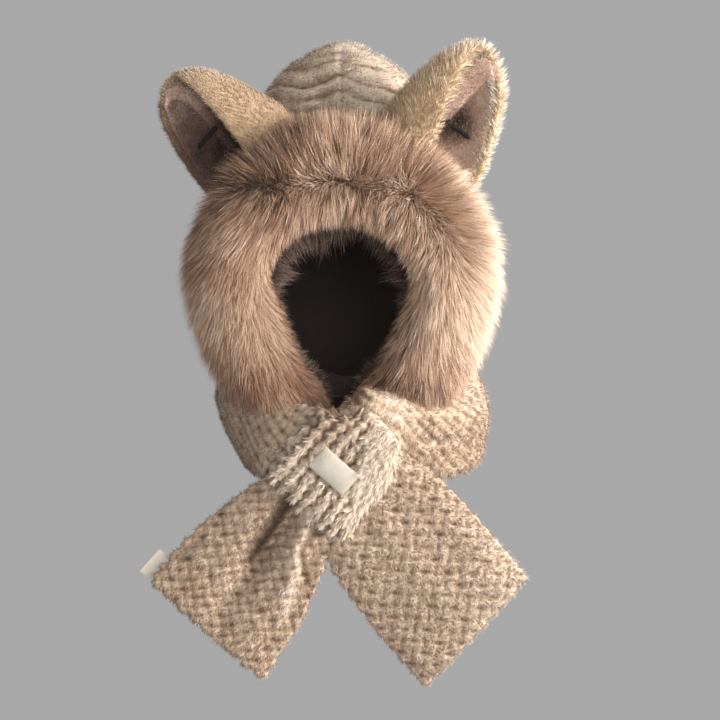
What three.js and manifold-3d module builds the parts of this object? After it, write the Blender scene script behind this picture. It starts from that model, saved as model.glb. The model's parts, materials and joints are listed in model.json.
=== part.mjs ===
// A plush hood with two animal ears, a deep fur trim round the face and a scarf threaded through its loop.
// Millimetres. +Z is up, the face opening looks along -Y, and left and right are as seen from the front.
// The origin is where the crown of the head sits in the hood.
import * as THREE from "three";
import Module from "manifold-3d";

const wasm = await Module();
wasm.setup();

// Clearances between neighbouring pieces
const GAP = 0.35;
const LINING_GAP = 0.55;

// Hood
const HOOD_HEIGHT = 365; // neck seam to the tip of the peak
const HOOD_HALF_WIDTH = 118;
const HOOD_BACK = 112; // head centre to the back of the hood
const HOOD_FRONT = 150; // head centre to the front of the ovals, before the face is cut out
const HOOD_WALL = 6;
const HOOD_BELOW = 245; // crown of the head to the neck seam
const FACE_EDGE = 58; // head centre to the hood's front edge
const NECK_SHIFT = 10; // the scarf pulls the neck seam to the right
const CROWN_RIBS = 7; // knit ribs across the crown
const CROWN_RIB_DEPTH = 2.2;

// Fur trim
const TRIM_HALF_WIDTH = 109; // head centre to the spine of the trim
const CORE_RADIUS = 41;
const CORE_DEPTH = 34;
const LOCK_RISE = 15; // from the core to the tip of a lock
const LOCK_LEAN = 15; // how far a lock's tip lies along the pile
const LOCK_SPACING = 26;
const TRIM_SEAT = 4; // how far the hood's edge is taken into the back of the trim
const CHIN_GAP = 44; // between the two ends of the spine

// Ears
const EAR_LENGTH = 134;
const EAR_HALF_WIDTH = 61;
const EAR_HALF_DEPTH = 34;
const EAR_WALL = 6;
const EAR_LINING = 3;
const EAR_RIM = 9; // how far the shell shows round the lining

// Scarf
const SCARF_WIDTH = 153;
const SCARF_WALL = 13;
const NECK_HALF_WIDTH = 118;
const NECK_HALF_DEPTH = 102;
const COLLAR_HEIGHT = 112;
const LOOP_LENGTH = 120;
const LOOP_HALF_WIDTH = 52;
const LOOP_WALL = 8;
const GATHER = 24; // thickness of the gathered strip inside the loop
const THROAT_SIDE = 1; // centre of the loop, sideways
const THROAT_BELOW = 55; // centre of the loop below the neck seam
const THROAT_REACH = 124; // centre of the loop ahead of the head centre
const LOOP_SLOPE = 42; // degrees that the loop's band falls to the right
const TAIL_LEFT_LENGTH = 162;
const TAIL_LEFT_LEAN = 37; // degrees from straight down
const TAIL_RIGHT_LENGTH = 183;
const TAIL_RIGHT_LEAN = 40;
const HEM_TURN = 8; // degrees that the right hem is off square

// Labels
const PATCH_LENGTH = 46;
const PATCH_WIDTH = 27;
const PATCH_THICK = 1.4;
const TAB_LENGTH = 30;
const TAB_REACH = 13;
const TAB_THICK = 0.9;

// Ovals of the hood from the neck up, as shares of the hood's height, half width, back and front.
// shift is a share of the neck's pull to the right.
const HOOD_OVALS = [
  { up: -0.05, half: 0.83, back: 0.71, front: -0.38, shift: 1 },
  { up: 0, half: 0.85, back: 0.73, front: -0.39, shift: 1 },
  { up: 0.085, half: 0.88, back: 0.8, front: -0.44, shift: 0.7 },
  { up: 0.15, half: 0.92, back: 0.87, front: -0.62, shift: 0.4 },
  { up: 0.233, half: 0.965, back: 0.93, front: -0.87, shift: 0.1 },
  { up: 0.342, half: 1, back: 0.98, front: -1, shift: 0 },
  { up: 0.452, half: 1, back: 1, front: -0.98, shift: 0 },
  { up: 0.54, half: 0.97, back: 0.99, front: -0.69, shift: 0 },
  { up: 0.584, half: 0.95, back: 0.97, front: -0.52, shift: 0 },
  { up: 0.62, half: 0.92, back: 0.955, front: -0.4, shift: 0 },
  { up: 0.726, half: 0.82, back: 0.87, front: -0.25, shift: 0 },
  { up: 0.83, half: 0.65, back: 0.74, front: -0.09, shift: 0 },
  { up: 0.923, half: 0.41, back: 0.57, front: 0.04, shift: 0 },
  { up: 0.975, half: 0.2, back: 0.43, front: 0.14, shift: 0 },
  { up: 1, half: 0.02, back: 0.32, front: 0.2, shift: 0 },
];

const CROWN_FROM = 0.7; // share of the hood's height where the ribs of the crown start

// The spine of the trim: heights as shares of the hood's height, and how square its lower half is
const TRIM_SPINE = { top: 0.616, middle: 0.348, chin: -0.012, sideBulge: 0.8, lowerBulge: 1.27 };

// Size of the trim from the top of the face to the chin, as shares of the core. back moves it to the neck.
const TRIM_SIZES = [
  { along: 0, wide: 1, deep: 1, back: 0 },
  { along: 0.3, wide: 1, deep: 1, back: 0 },
  { along: 0.6, wide: 0.98, deep: 1, back: 0 },
  { along: 0.8, wide: 0.92, deep: 0.95, back: 0.06 },
  { along: 0.92, wide: 0.8, deep: 0.78, back: 0.22 },
  { along: 1, wide: 0.64, deep: 0.6, back: 0.36 },
];

// How the locks lie round a section of the trim: at is in degrees, 0 away from the face and 90 to the front.
// lean is along the surface, below zero away from the face, and rise and lean are shares of a lock's own.
const PILE = [
  { at: -90, lean: -0.3, rise: 0.3 },
  { at: -40, lean: -0.8, rise: 0.8 },
  { at: 10, lean: -1.1, rise: 1 },
  { at: 55, lean: -1.1, rise: 0.9 },
  { at: 82, lean: 0, rise: 0.35 },
  { at: 110, lean: 1, rise: 0.9 },
  { at: 160, lean: 0.9, rise: 0.8 },
  { at: 210, lean: 0.6, rise: 0.5 },
  { at: 270, lean: 0.3, rise: 0.3 },
];
const PILE_FALL = 0.35; // the tips hang down by this share of their rise
const PILE_VARIES = 0.22; // and differ by this share from lock to lock

// Ear sections from root to tip, as shares of the ear's length, half width and half depth.
// outer and inner are the ends of the cup's arc in degrees, 0 towards the side and 90 towards the back.
const EAR_SECTIONS = [
  { along: 0, half: 1, deep: 1, outer: 8, inner: 268 },
  { along: 0.2, half: 0.97, deep: 0.98, outer: 4, inner: 267 },
  { along: 0.4, half: 0.88, deep: 0.9, outer: 2, inner: 262 },
  { along: 0.57, half: 0.77, deep: 0.78, outer: 2, inner: 257 },
  { along: 0.75, half: 0.61, deep: 0.6, outer: 2, inner: 250 },
  { along: 0.87, half: 0.42, deep: 0.42, outer: 6, inner: 240 },
  { along: 0.96, half: 0.22, deep: 0.24, outer: 20, inner: 215 },
  { along: 1, half: 0.07, deep: 0.09, outer: 40, inner: 180 },
];

const EAR_RIM_MOST = 0.3; // share of the cup's arc that a rim may take near the tip
const EAR_FULL_WALL_FROM = 0.45; // the wall thins where an ear is narrower than this share

// Each ear's root as shares of the hood's half width, back and height, and its lean in degrees
const EARS = [
  { side: "left", sign: -1, across: 0.7, deep: -0.5, up: 0.65, lean: 47.5, nod: 4 },
  { side: "right", sign: 1, across: 0.7, deep: -0.5, up: 0.655, lean: 29, nod: 4 },
];

// The scarf round the neck from the nape forward: edge points as shares of the neck's half width and
// half depth and of the collar's height below the neck seam. belly and crease are shares of the wall.
const WRAP_RIGHT = [
  { topX: 0, topY: 0.86, topZ: 0.12, lowX: 0, lowY: 0.83, lowZ: -0.9, belly: 0.3, crease: 0 },
  { topX: 0.45, topY: 0.75, topZ: 0.13, lowX: 0.45, lowY: 0.73, lowZ: -0.9, belly: 0.5, crease: 0 },
  { topX: 0.88, topY: 0.42, topZ: 0.16, lowX: 0.94, lowY: 0.4, lowZ: -0.87, belly: 0.8, crease: 0.1 },
  { topX: 1.12, topY: -0.08, topZ: 0.28, lowX: 1.18, lowY: -0.1, lowZ: -0.66, belly: 0.9, crease: 0.3 },
  { topX: 1.02, topY: -0.62, topZ: 0.12, lowX: 1.1, lowY: -0.66, lowZ: -0.68, belly: 0.9, crease: 0.5 },
  { topX: 0.7, topY: -1, topZ: 0.04, lowX: 0.72, lowY: -1.06, lowZ: -0.68, belly: 0.8, crease: 0.6 },
];
const WRAP_LEFT = [
  { topX: 0, topY: 0.86, topZ: 0.12, lowX: 0, lowY: 0.83, lowZ: -0.9, belly: 0.3, crease: 0 },
  { topX: -0.5, topY: 0.74, topZ: 0.12, lowX: -0.46, lowY: 0.72, lowZ: -0.88, belly: 0.4, crease: 0 },
  { topX: -0.94, topY: 0.4, topZ: 0.1, lowX: -0.8, lowY: 0.38, lowZ: -0.82, belly: 0.5, crease: 0 },
  { topX: -1.1, topY: -0.18, topZ: 0.08, lowX: -0.75, lowY: -0.3, lowZ: -0.72, belly: 0.35, crease: 0.1 },
  { topX: -0.92, topY: -0.7, topZ: 0.02, lowX: -0.72, lowY: -0.84, lowZ: -0.68, belly: 0.35, crease: 0.1 },
  { topX: -0.46, topY: -1.08, topZ: 0.02, lowX: -0.7, lowY: -1.1, lowZ: -0.66, belly: 0.4, crease: 0.1 },
  { topX: -0.02, topY: -1.2, topZ: -0.02, lowX: -0.58, lowY: -1.18, lowZ: -0.74, belly: 0.3, crease: 0 },
  { topX: 0.12, topY: -1.2, topZ: -0.12, lowX: -0.4, lowY: -1.18, lowZ: -0.84, belly: 0.2, crease: 0 },
];
const WRAP_FOLD = { at: 0.7, spread: 0.09 }; // the fold that runs round the collar, from the top edge down

// The strip through the loop, along as a share of half the loop and width of the scarf's width
const THROUGH_LOOP = [
  { along: -1.12, width: 0.46, thick: 1, crease: 0.25 },
  { along: -0.4, width: 0.46, thick: 1, crease: 0 },
  { along: 0.4, width: 0.5, thick: 1, crease: 0 },
  { along: 1.02, width: 0.6, thick: 0.95, crease: 0.3 },
];

// The tails, along as a share of the tail, width of the scarf's width, thick and crease of its wall
const TAIL_LEFT = [
  { along: 0.24, width: 0.76, thick: 1.6, crease: 1.1 },
  { along: 0.5, width: 0.9, thick: 1.35, crease: 1 },
  { along: 0.8, width: 0.98, thick: 1.1, crease: 0.5 },
  { along: 0.96, width: 1, thick: 1, crease: 0.2 },
  { along: 1, width: 0.99, thick: 0.6, crease: 0.1 },
];
const TAIL_RIGHT = [
  { along: -0.06, width: 0.78, thick: 1, crease: 0 },
  { along: 0.2, width: 0.94, thick: 1, crease: 0.15 },
  { along: 0.55, width: 1, thick: 1, crease: 0.2 },
  { along: 0.95, width: 1, thick: 1, crease: 0.1 },
  { along: 1, width: 0.98, thick: 0.6, crease: 0.05 },
];
const TAIL_FOLDS = [
  { at: 0.5, spread: 0.1, share: 1 },
  { at: 0.84, spread: 0.07, share: 0.6 },
];
const EDGE_THICKNESS = 0.265; // share of a strip's thickness that its edges keep
const FOLD_TAKEN_UP = 0.4; // share of a fold that doesn't show on the far face
const TAB_AT = 0.58; // where the ribbon tab sits, from the loop's centre to the left hem

// The face of the loop from its entry to its exit; from and to are shares of its half width
const LOOP_FACE = [
  { along: -1, from: -0.88, to: 0.42, thick: 0.62 },
  { along: -0.9, from: -0.98, to: 0.6, thick: 0.9 },
  { along: -0.55, from: -1, to: 0.86, thick: 1 },
  { along: 0, from: -1, to: 0.98, thick: 1 },
  { along: 0.55, from: -1, to: 1.02, thick: 1 },
  { along: 0.9, from: -0.98, to: 1.02, thick: 0.9 },
  { along: 1, from: -0.9, to: 0.94, thick: 0.62 },
];
const PATCH_AT = { across: -0.1, along: 0.08 }; // centre of the patch, as shares of the loop's half sizes

// Mesh fineness
const OVAL_POINTS = 28;
const FUR_COLUMNS = 18;
const STRIP_COLUMNS = 8;
const EAR_COLUMNS = 12;
const EAR_ROWS = 13;

const radians = THREE.MathUtils.degToRad;
const lerp = THREE.MathUtils.lerp;

// Joins rings of equal length into one closed solid. Point k of a ring faces point 2n - 1 - k across it.
function loft(rings) {
  const count = rings[0].length;
  const positions = rings.flat().flatMap((point) => [point.x, point.y, point.z]);
  const triangles = [];
  for (let row = 0; row + 1 < rings.length; row += 1) {
    for (let k = 0; k < count; k += 1) {
      const next = (k + 1) % count;
      const [a, b] = [row * count + k, row * count + next];
      triangles.push(a, b, b + count, a, b + count, a + count);
    }
  }
  const last = (rings.length - 1) * count;
  for (let k = 0; k + 1 < count / 2; k += 1) {
    const [near, nearNext, far, farNext] = [k, k + 1, count - 1 - k, count - 2 - k];
    triangles.push(near, farNext, nearNext, near, far, farNext);
    triangles.push(last + near, last + nearNext, last + farNext, last + near, last + farNext, last + far);
  }
  return closed(positions, triangles);
}

// Makes a solid of a closed mesh, with its faces pointing out
function closed(positions, triangles) {
  const volume = signedVolume(positions, triangles);
  const facing = volume < 0 ? triangles.slice().reverse() : triangles;
  const mesh = new wasm.Mesh({
    numProp: 3,
    vertProperties: new Float32Array(positions),
    triVerts: new Uint32Array(facing),
  });
  return new wasm.Manifold(mesh);
}

function signedVolume(positions, triangles) {
  const point = (index) => new THREE.Vector3().fromArray(positions, index * 3);
  let volume = 0;
  for (let k = 0; k < triangles.length; k += 3) {
    const [a, b, c] = [point(triangles[k]), point(triangles[k + 1]), point(triangles[k + 2])];
    volume += a.dot(b.cross(c));
  }
  return volume;
}

// A box as a solid, from its lowest to its highest corner
function boxSolid(low, high) {
  const rings = [low[2], high[2]].map((z) => [
    new THREE.Vector3(low[0], low[1], z),
    new THREE.Vector3(high[0], low[1], z),
    new THREE.Vector3(high[0], high[1], z),
    new THREE.Vector3(low[0], high[1], z),
  ]);
  return loft(rings);
}

// Reads every column of a table at one value of its first column, smoothly between its rows
function readTable(table, key, value) {
  const last = table.length - 1;
  let row = 0;
  while (row < last - 1 && value > table[row + 1][key]) {
    row += 1;
  }
  const before = table[Math.max(row - 1, 0)];
  const [from, to] = [table[row], table[row + 1]];
  const after = table[Math.min(row + 2, last)];
  const share = THREE.MathUtils.clamp((value - from[key]) / (to[key] - from[key]), 0, 1);
  const columns = Object.keys(from).map((name) => {
    const slopeIn = slope(before, to, name, key) * (to[key] - from[key]);
    const slopeOut = slope(from, after, name, key) * (to[key] - from[key]);
    return [name, hermite(from[name], to[name], slopeIn, slopeOut, share)];
  });
  return Object.fromEntries(columns);
}

function slope(from, to, name, key) {
  return (to[name] - from[name]) / (to[key] - from[key]);
}

function hermite(from, to, slopeIn, slopeOut, t) {
  const [square, cube] = [t * t, t * t * t];
  const held = (2 * cube - 3 * square + 1) * from + (3 * square - 2 * cube) * to;
  return held + (cube - 2 * square + t) * slopeIn + (cube - square) * slopeOut;
}

// The largest body of a solid, without the crumbs that a cut leaves
function largest(solid) {
  const bodies = solid.decompose();
  return bodies.reduce((best, body) => (body.volume() > best.volume() ? body : best));
}

// What is left of a solid beside its neighbours
function cutBy(solid, cutters) {
  return largest(cutters.reduce((left, cutter) => left.subtract(cutter), solid));
}

function heightOfHood(share) {
  return share * HOOD_HEIGHT - HOOD_BELOW;
}

// How far the ribs of the crown stand out at a share of the hood's height
function crownRib(up) {
  const fade = THREE.MathUtils.smoothstep(up, CROWN_FROM - 0.04, CROWN_FROM + 0.04);
  const turns = ((1 - up) / (1 - CROWN_FROM)) * CROWN_RIBS;
  return fade * CROWN_RIB_DEPTH * Math.cos(turns * 2 * Math.PI);
}

// Ovals of the hood drawn in by a wall, or let out by a clearance when it is below zero
function hoodOvals(inset, levels) {
  const rings = [];
  for (const up of levels) {
    const row = readTable(HOOD_OVALS, "up", up);
    const back = row.back * HOOD_BACK;
    const front = row.front * HOOD_FRONT;
    const rib = inset > 0 ? 0 : crownRib(up);
    const halfWidth = Math.max(row.half * HOOD_HALF_WIDTH + rib - inset, 0.8);
    const halfDepth = Math.max((back - front) / 2 + rib - inset, 0.8);
    const centre = new THREE.Vector3(row.shift * NECK_SHIFT, (back + front) / 2, heightOfHood(up));
    const ring = [];
    for (let k = 0; k < OVAL_POINTS; k += 1) {
      const angle = ((k + 0.5) / OVAL_POINTS) * 2 * Math.PI;
      ring.push(new THREE.Vector3(Math.cos(angle) * halfWidth, Math.sin(angle) * halfDepth, 0).add(centre));
    }
    rings.push(ring);
  }
  return rings;
}

// The hood as a filled form, cut off at its front edge and at the neck seam
function hoodForm(grow) {
  const lower = [-0.05, 0, 0.06, 0.12, 0.18, 0.25, 0.33, 0.41, 0.49, 0.54, 0.584, 0.62, 0.67];
  const upper = [];
  const steps = CROWN_RIBS * 2;
  for (let k = 0; k < steps; k += 1) {
    upper.push(lerp(CROWN_FROM, 0.993, k / (steps - 1)));
  }
  const form = loft(hoodOvals(-grow, [...lower, ...upper, 1]));
  const tall = HOOD_HEIGHT * 2;
  const front = boxSolid([-tall, -tall, -tall], [tall, -FACE_EDGE - grow, tall]);
  const neck = boxSolid([-tall, -tall, -tall], [tall, tall, -HOOD_BELOW - grow]);
  return form.subtract(front).subtract(neck);
}

function hoodHollow() {
  const levels = [-0.05, 0, 0.06, 0.12, 0.18, 0.25, 0.33, 0.41, 0.49, 0.54, 0.584, 0.62, 0.67, 0.73, 0.79];
  return loft(hoodOvals(HOOD_WALL, [...levels, 0.85, 0.9, 0.94, 0.965]));
}

function hoodPanels() {
  const shell = hoodForm(0).subtract(hoodHollow());
  const far = HOOD_HEIGHT * 2;
  const leftSide = boxSolid([-far, -far, -far], [-GAP / 2, far, far]);
  const rightSide = boxSolid([GAP / 2, -far, -far], [far, far, far]);
  return [largest(shell.intersect(leftSide)), largest(shell.intersect(rightSide))];
}

// A point of the trim's spine, from the left end at -1 over the top at 0 to the right end at 1
function spinePoint(t) {
  const endAngle = Math.asin(Math.pow(CHIN_GAP / 2 / TRIM_HALF_WIDTH, 1 / TRIM_SPINE.sideBulge));
  const angle = t * (Math.PI - endAngle);
  const [sine, cosine] = [Math.sin(angle), Math.cos(angle)];
  const [top, middle] = [heightOfHood(TRIM_SPINE.top), heightOfHood(TRIM_SPINE.middle)];
  const lower = middle - heightOfHood(TRIM_SPINE.chin);
  const across = Math.sign(sine) * Math.pow(Math.abs(sine), cosine < 0 ? TRIM_SPINE.sideBulge : 1);
  const rise = cosine < 0 ? -lower * Math.pow(-cosine, TRIM_SPINE.lowerBulge) : (top - middle) * cosine;
  const size = readTable(TRIM_SIZES, "along", Math.abs(t));
  const forward = FACE_EDGE + CORE_DEPTH * (1 - size.back) - TRIM_SEAT;
  return new THREE.Vector3(across * TRIM_HALF_WIDTH, -forward, middle + rise);
}

// Directions at a point of the spine: along it, away from the face, and to the front
function spineFrame(t) {
  const step = 0.01;
  const along = spinePoint(Math.min(t + step, 1)).sub(spinePoint(Math.max(t - step, -1))).normalize();
  const front = new THREE.Vector3(0, -1, 0);
  const away = new THREE.Vector3().crossVectors(front, along).normalize();
  return { along, front, away, centre: spinePoint(t) };
}

// One section of the trim. Every other point stands out as the tip of a lock, staggered from row to row.
function trimRing(t, step, closing) {
  const frame = spineFrame(t);
  const size = readTable(TRIM_SIZES, "along", Math.abs(t));
  const ring = [];
  for (let k = 0; k < FUR_COLUMNS; k += 1) {
    const degrees = -90 + ((k + 0.5) / FUR_COLUMNS) * 360;
    const angle = radians(degrees);
    const [wide, deep] = [CORE_RADIUS * size.wide, CORE_DEPTH * size.deep];
    const out = new THREE.Vector3().addScaledVector(frame.away, Math.cos(angle) / wide);
    out.addScaledVector(frame.front, Math.sin(angle) / deep).normalize();
    const flow = new THREE.Vector3().crossVectors(frame.along, out).normalize();
    const point = frame.centre.clone();
    point.addScaledVector(frame.away, Math.cos(angle) * wide * closing);
    point.addScaledVector(frame.front, Math.sin(angle) * deep * closing);
    const tip = k % 2 === 0 && (step + k / 2) % 2 === 0 && closing === 1;
    if (tip) {
      const lie = readTable(PILE, "at", degrees);
      const varied = (1 + PILE_VARIES * Math.sin(step * 2.4 + k * 1.7)) * size.wide;
      point.addScaledVector(out, lie.rise * LOCK_RISE * varied);
      point.addScaledVector(flow, lie.lean * LOCK_LEAN * varied);
      point.z -= PILE_FALL * lie.rise * LOCK_RISE;
    }
    ring.push(point);
  }
  return ring;
}

function furTrim(neighbours) {
  let length = 0;
  for (let k = -30; k < 30; k += 1) {
    length += spinePoint(k / 30).distanceTo(spinePoint((k + 1) / 30));
  }
  const steps = Math.round((length / LOCK_SPACING) * 2);
  const rings = [trimRing(-1, 0, 0.6)];
  for (let step = 0; step <= steps; step += 1) {
    rings.push(trimRing(lerp(-0.985, 0.985, step / steps), step, 1));
  }
  rings.push(trimRing(1, 0, 0.6));
  return cutBy(loft(rings), neighbours);
}

// Turns a point of an ear, given across to the side, to the front and along the ear, into its place
function earPoint(ear, across, front, along) {
  const point = new THREE.Vector3(ear.sign * across, -front, along);
  point.applyAxisAngle(new THREE.Vector3(1, 0, 0), radians(ear.nod));
  point.applyAxisAngle(new THREE.Vector3(0, 1, 0), radians(ear.sign * ear.lean));
  point.x += ear.sign * ear.across * HOOD_HALF_WIDTH;
  point.y += ear.deep * HOOD_BACK;
  point.z += heightOfHood(ear.up);
  return point;
}

// A point on an ear's cup: depth is measured in from the outer face and share runs from the outer rim to the
// inner one. Between its columns the cup is flat, so that layers at two depths stay parallel.
function cupPoint(ear, section, along, depth, share) {
  const thin = Math.min(1, section.half / EAR_FULL_WALL_FROM);
  const corner = (column) => {
    const angle = radians(lerp(section.outer, section.inner, column / EAR_COLUMNS));
    const across = Math.cos(angle) * (section.half * EAR_HALF_WIDTH - depth.wall * thin - depth.clear);
    const back = Math.sin(angle) * (section.deep * EAR_HALF_DEPTH - depth.wall * thin - depth.clear);
    return earPoint(ear, across, -back, along * EAR_LENGTH);
  };
  const column = Math.min(Math.floor(share * EAR_COLUMNS), EAR_COLUMNS - 1);
  return corner(column).lerp(corner(column + 1), share * EAR_COLUMNS - column);
}

// One layer of an ear between two depths below its outer face, held back from the rim
function earLayer(ear, outerDepth, innerDepth, rim, lastRow) {
  const rings = [];
  for (let row = 0; row <= lastRow; row += 1) {
    const along = row / EAR_ROWS;
    const section = readTable(EAR_SECTIONS, "along", along);
    const arc = radians(section.inner - section.outer) * section.half * EAR_HALF_WIDTH;
    const held = Math.min(rim / arc, EAR_RIM_MOST);
    const shares = [];
    for (let column = 0; column <= EAR_COLUMNS; column += 1) {
      shares.push(THREE.MathUtils.clamp(column / EAR_COLUMNS, held, 1 - held));
    }
    const outer = shares.map((share) => cupPoint(ear, section, along, outerDepth, share));
    const inner = shares.map((share) => cupPoint(ear, section, along, innerDepth, share));
    rings.push([...outer, ...inner.reverse()]);
  }
  return loft(rings);
}

function earShell(ear, grow) {
  return earLayer(ear, { wall: 0, clear: -grow }, { wall: EAR_WALL, clear: grow }, 0, EAR_ROWS);
}

function earLining(ear, grow) {
  const outerDepth = { wall: EAR_WALL, clear: LINING_GAP - grow };
  const innerDepth = { wall: EAR_WALL + EAR_LINING, clear: LINING_GAP + grow };
  return earLayer(ear, outerDepth, innerDepth, EAR_RIM, EAR_ROWS - 1);
}

// Closed slab along a list of cross lines, each with its two edge points, thickness, bulge and folds
function slab(lines, grow) {
  const rings = lines.map((line, index) => {
    const before = lines[Math.max(index - 1, 0)];
    const after = lines[Math.min(index + 1, lines.length - 1)];
    const tangent = middleOf(after).sub(middleOf(before)).normalize();
    const across = line.low.clone().sub(line.top).normalize();
    const normal = new THREE.Vector3().crossVectors(tangent, across).normalize().multiplyScalar(line.facing);
    const end = index === 0 ? -grow : index === lines.length - 1 ? grow : 0;
    const outer = [];
    const inner = [];
    for (let k = 0; k <= STRIP_COLUMNS; k += 1) {
      const s = k / STRIP_COLUMNS;
      const point = line.top.clone().lerp(line.low, s);
      point.addScaledVector(across, (2 * s - 1) * grow);
      point.addScaledVector(tangent, end);
      const folds = line.folds.reduce((sum, fold) => sum + dent(s, fold) * fold.depth, 0);
      const bulge = Math.sin(Math.PI * s) * line.belly - folds;
      const taper = Math.pow(2 * s - 1, 4) * (1 - Math.pow(EDGE_THICKNESS, 2));
      const half = (line.thick / 2) * Math.sqrt(1 - taper) + grow;
      outer.push(point.clone().addScaledVector(normal, bulge + half));
      inner.unshift(point.clone().addScaledVector(normal, bulge - half + folds * FOLD_TAKEN_UP));
    }
    return [...outer, ...inner];
  });
  return loft(rings);
}

function dent(s, fold) {
  return Math.exp(-Math.pow((s - fold.at) / fold.spread, 2));
}

function middleOf(line) {
  return line.top.clone().add(line.low).multiplyScalar(0.5);
}

// Fills in lines between the given ones on smooth curves
function smoothLines(lines, steps) {
  const filled = [];
  const lineAt = (index) => lines[THREE.MathUtils.clamp(index, 0, lines.length - 1)];
  const blend = (pick, index, t) => {
    const values = [-1, 0, 1, 2].map((ahead) => pick(lineAt(index + ahead)));
    return hermite(values[1], values[2], (values[2] - values[0]) / 2, (values[3] - values[1]) / 2, t);
  };
  for (let index = 0; index + 1 < lines.length; index += 1) {
    for (let step = 0; step < steps; step += 1) {
      filled.push(blendedLine(lines[index], (pick) => blend(pick, index, step / steps)));
    }
  }
  filled.push(lines[lines.length - 1]);
  return filled;
}

function blendedLine(line, blend) {
  const point = (edge) => new THREE.Vector3(
    blend((one) => one[edge].x),
    blend((one) => one[edge].y),
    blend((one) => one[edge].z),
  );
  const folds = line.folds.map((fold, k) => {
    const depth = blend((one) => one.folds[k].depth);
    return { ...fold, depth: Math.max(depth, 0) };
  });
  return {
    top: point("top"),
    low: point("low"),
    thick: blend((one) => one.thick),
    belly: blend((one) => one.belly),
    facing: line.facing,
    folds,
  };
}

// Folds of a strip: one that runs round the collar and two down a tail
function stripFolds(collarDepth, tailDepth) {
  const tail = TAIL_FOLDS.map((fold) => ({ ...fold, depth: tailDepth * fold.share }));
  return [{ ...WRAP_FOLD, depth: collarDepth }, ...tail];
}

function wrapLines(table, facing) {
  return table.map((row) => ({
    top: new THREE.Vector3(
      row.topX * NECK_HALF_WIDTH,
      row.topY * NECK_HALF_DEPTH,
      row.topZ * COLLAR_HEIGHT - HOOD_BELOW,
    ),
    low: new THREE.Vector3(
      row.lowX * NECK_HALF_WIDTH,
      row.lowY * NECK_HALF_DEPTH,
      row.lowZ * COLLAR_HEIGHT - HOOD_BELOW,
    ),
    thick: SCARF_WALL,
    belly: row.belly * SCARF_WALL,
    facing,
    folds: stripFolds(row.crease * SCARF_WALL, 0),
  }));
}

// Directions of the loop: across its band, down the strip that passes through it, and to the front
const THROAT = new THREE.Vector3(THROAT_SIDE, -THROAT_REACH, -HOOD_BELOW - THROAT_BELOW);
const BAND = new THREE.Vector3(Math.cos(radians(LOOP_SLOPE)), 0, -Math.sin(radians(LOOP_SLOPE)));
const THREAD = new THREE.Vector3(-Math.sin(radians(LOOP_SLOPE)), 0, -Math.cos(radians(LOOP_SLOPE)));
const FRONT = new THREE.Vector3(0, -1, 0);

function crossLine(centre, across, width, thick, foldDepth) {
  return {
    top: centre.clone().addScaledVector(across, -width / 2),
    low: centre.clone().addScaledVector(across, width / 2),
    thick,
    belly: 0,
    facing: 1,
    folds: stripFolds(0, foldDepth),
  };
}

function threadedLines() {
  return THROUGH_LOOP.map((row) => {
    const centre = THROAT.clone().addScaledVector(THREAD, (row.along * LOOP_LENGTH) / 2);
    return crossLine(centre, BAND, row.width * SCARF_WIDTH, row.thick * GATHER, row.crease * SCARF_WALL);
  });
}

function tailLines(table, start, lean, across, length) {
  const down = new THREE.Vector3(Math.sin(radians(lean)), 0, -Math.cos(radians(lean)));
  return table.map((row) => {
    const centre = start.clone().addScaledVector(down, row.along * length);
    const [thick, crease] = [row.thick * SCARF_WALL, row.crease * SCARF_WALL];
    return crossLine(centre, across, row.width * SCARF_WIDTH, thick, crease);
  });
}

// Nape, right side of the neck, through the loop and out as the left tail
function rightStripLines() {
  const exit = THROAT.clone().addScaledVector(THREAD, LOOP_LENGTH / 2);
  const tail = tailLines(TAIL_LEFT, exit, -TAIL_LEFT_LEAN, BAND, TAIL_LEFT_LENGTH);
  return smoothLines([...wrapLines(WRAP_RIGHT, 1), ...threadedLines(), ...tail], 2);
}

function leftWrapLines() {
  return smoothLines(wrapLines(WRAP_LEFT, -1), 2);
}

// The right tail starts under the lower right side of the loop
function rightTailLines() {
  const lean = radians(TAIL_RIGHT_LEAN + HEM_TURN);
  const across = new THREE.Vector3(Math.cos(lean), 0, Math.sin(lean));
  const start = THROAT.clone().addScaledVector(BAND, LOOP_HALF_WIDTH * 0.7);
  start.addScaledVector(THREAD, LOOP_LENGTH * 0.12);
  const lines = tailLines(TAIL_RIGHT, start, TAIL_RIGHT_LEAN, across, TAIL_RIGHT_LENGTH);
  return smoothLines(lines.map((line) => ({ ...line, facing: -1 })), 2);
}

// The loop as a filled pad
function loopPad(grow) {
  const rings = LOOP_FACE.map((row) => {
    const longer = Math.abs(row.along) === 1 ? grow : 0;
    const along = row.along * (LOOP_LENGTH / 2 + longer);
    const centre = THROAT.clone().addScaledVector(THREAD, along);
    const middle = ((row.from + row.to) / 2) * LOOP_HALF_WIDTH;
    const half = ((row.to - row.from) / 2) * LOOP_HALF_WIDTH + grow;
    const thick = (GATHER / 2 + LOOP_WALL) * row.thick + grow;
    const ring = [];
    for (let k = 0; k < 20; k += 1) {
      const angle = ((k + 0.5) / 20) * 2 * Math.PI;
      const [across, ahead] = [roundedSquare(Math.cos(angle)), roundedSquare(Math.sin(angle))];
      const point = centre.clone().addScaledVector(BAND, middle + across * half);
      ring.push(point.addScaledVector(FRONT, ahead * thick));
    }
    return ring;
  });
  return loft(rings);
}

function roundedSquare(value) {
  return Math.sign(value) * Math.pow(Math.abs(value), 0.62);
}

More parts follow.
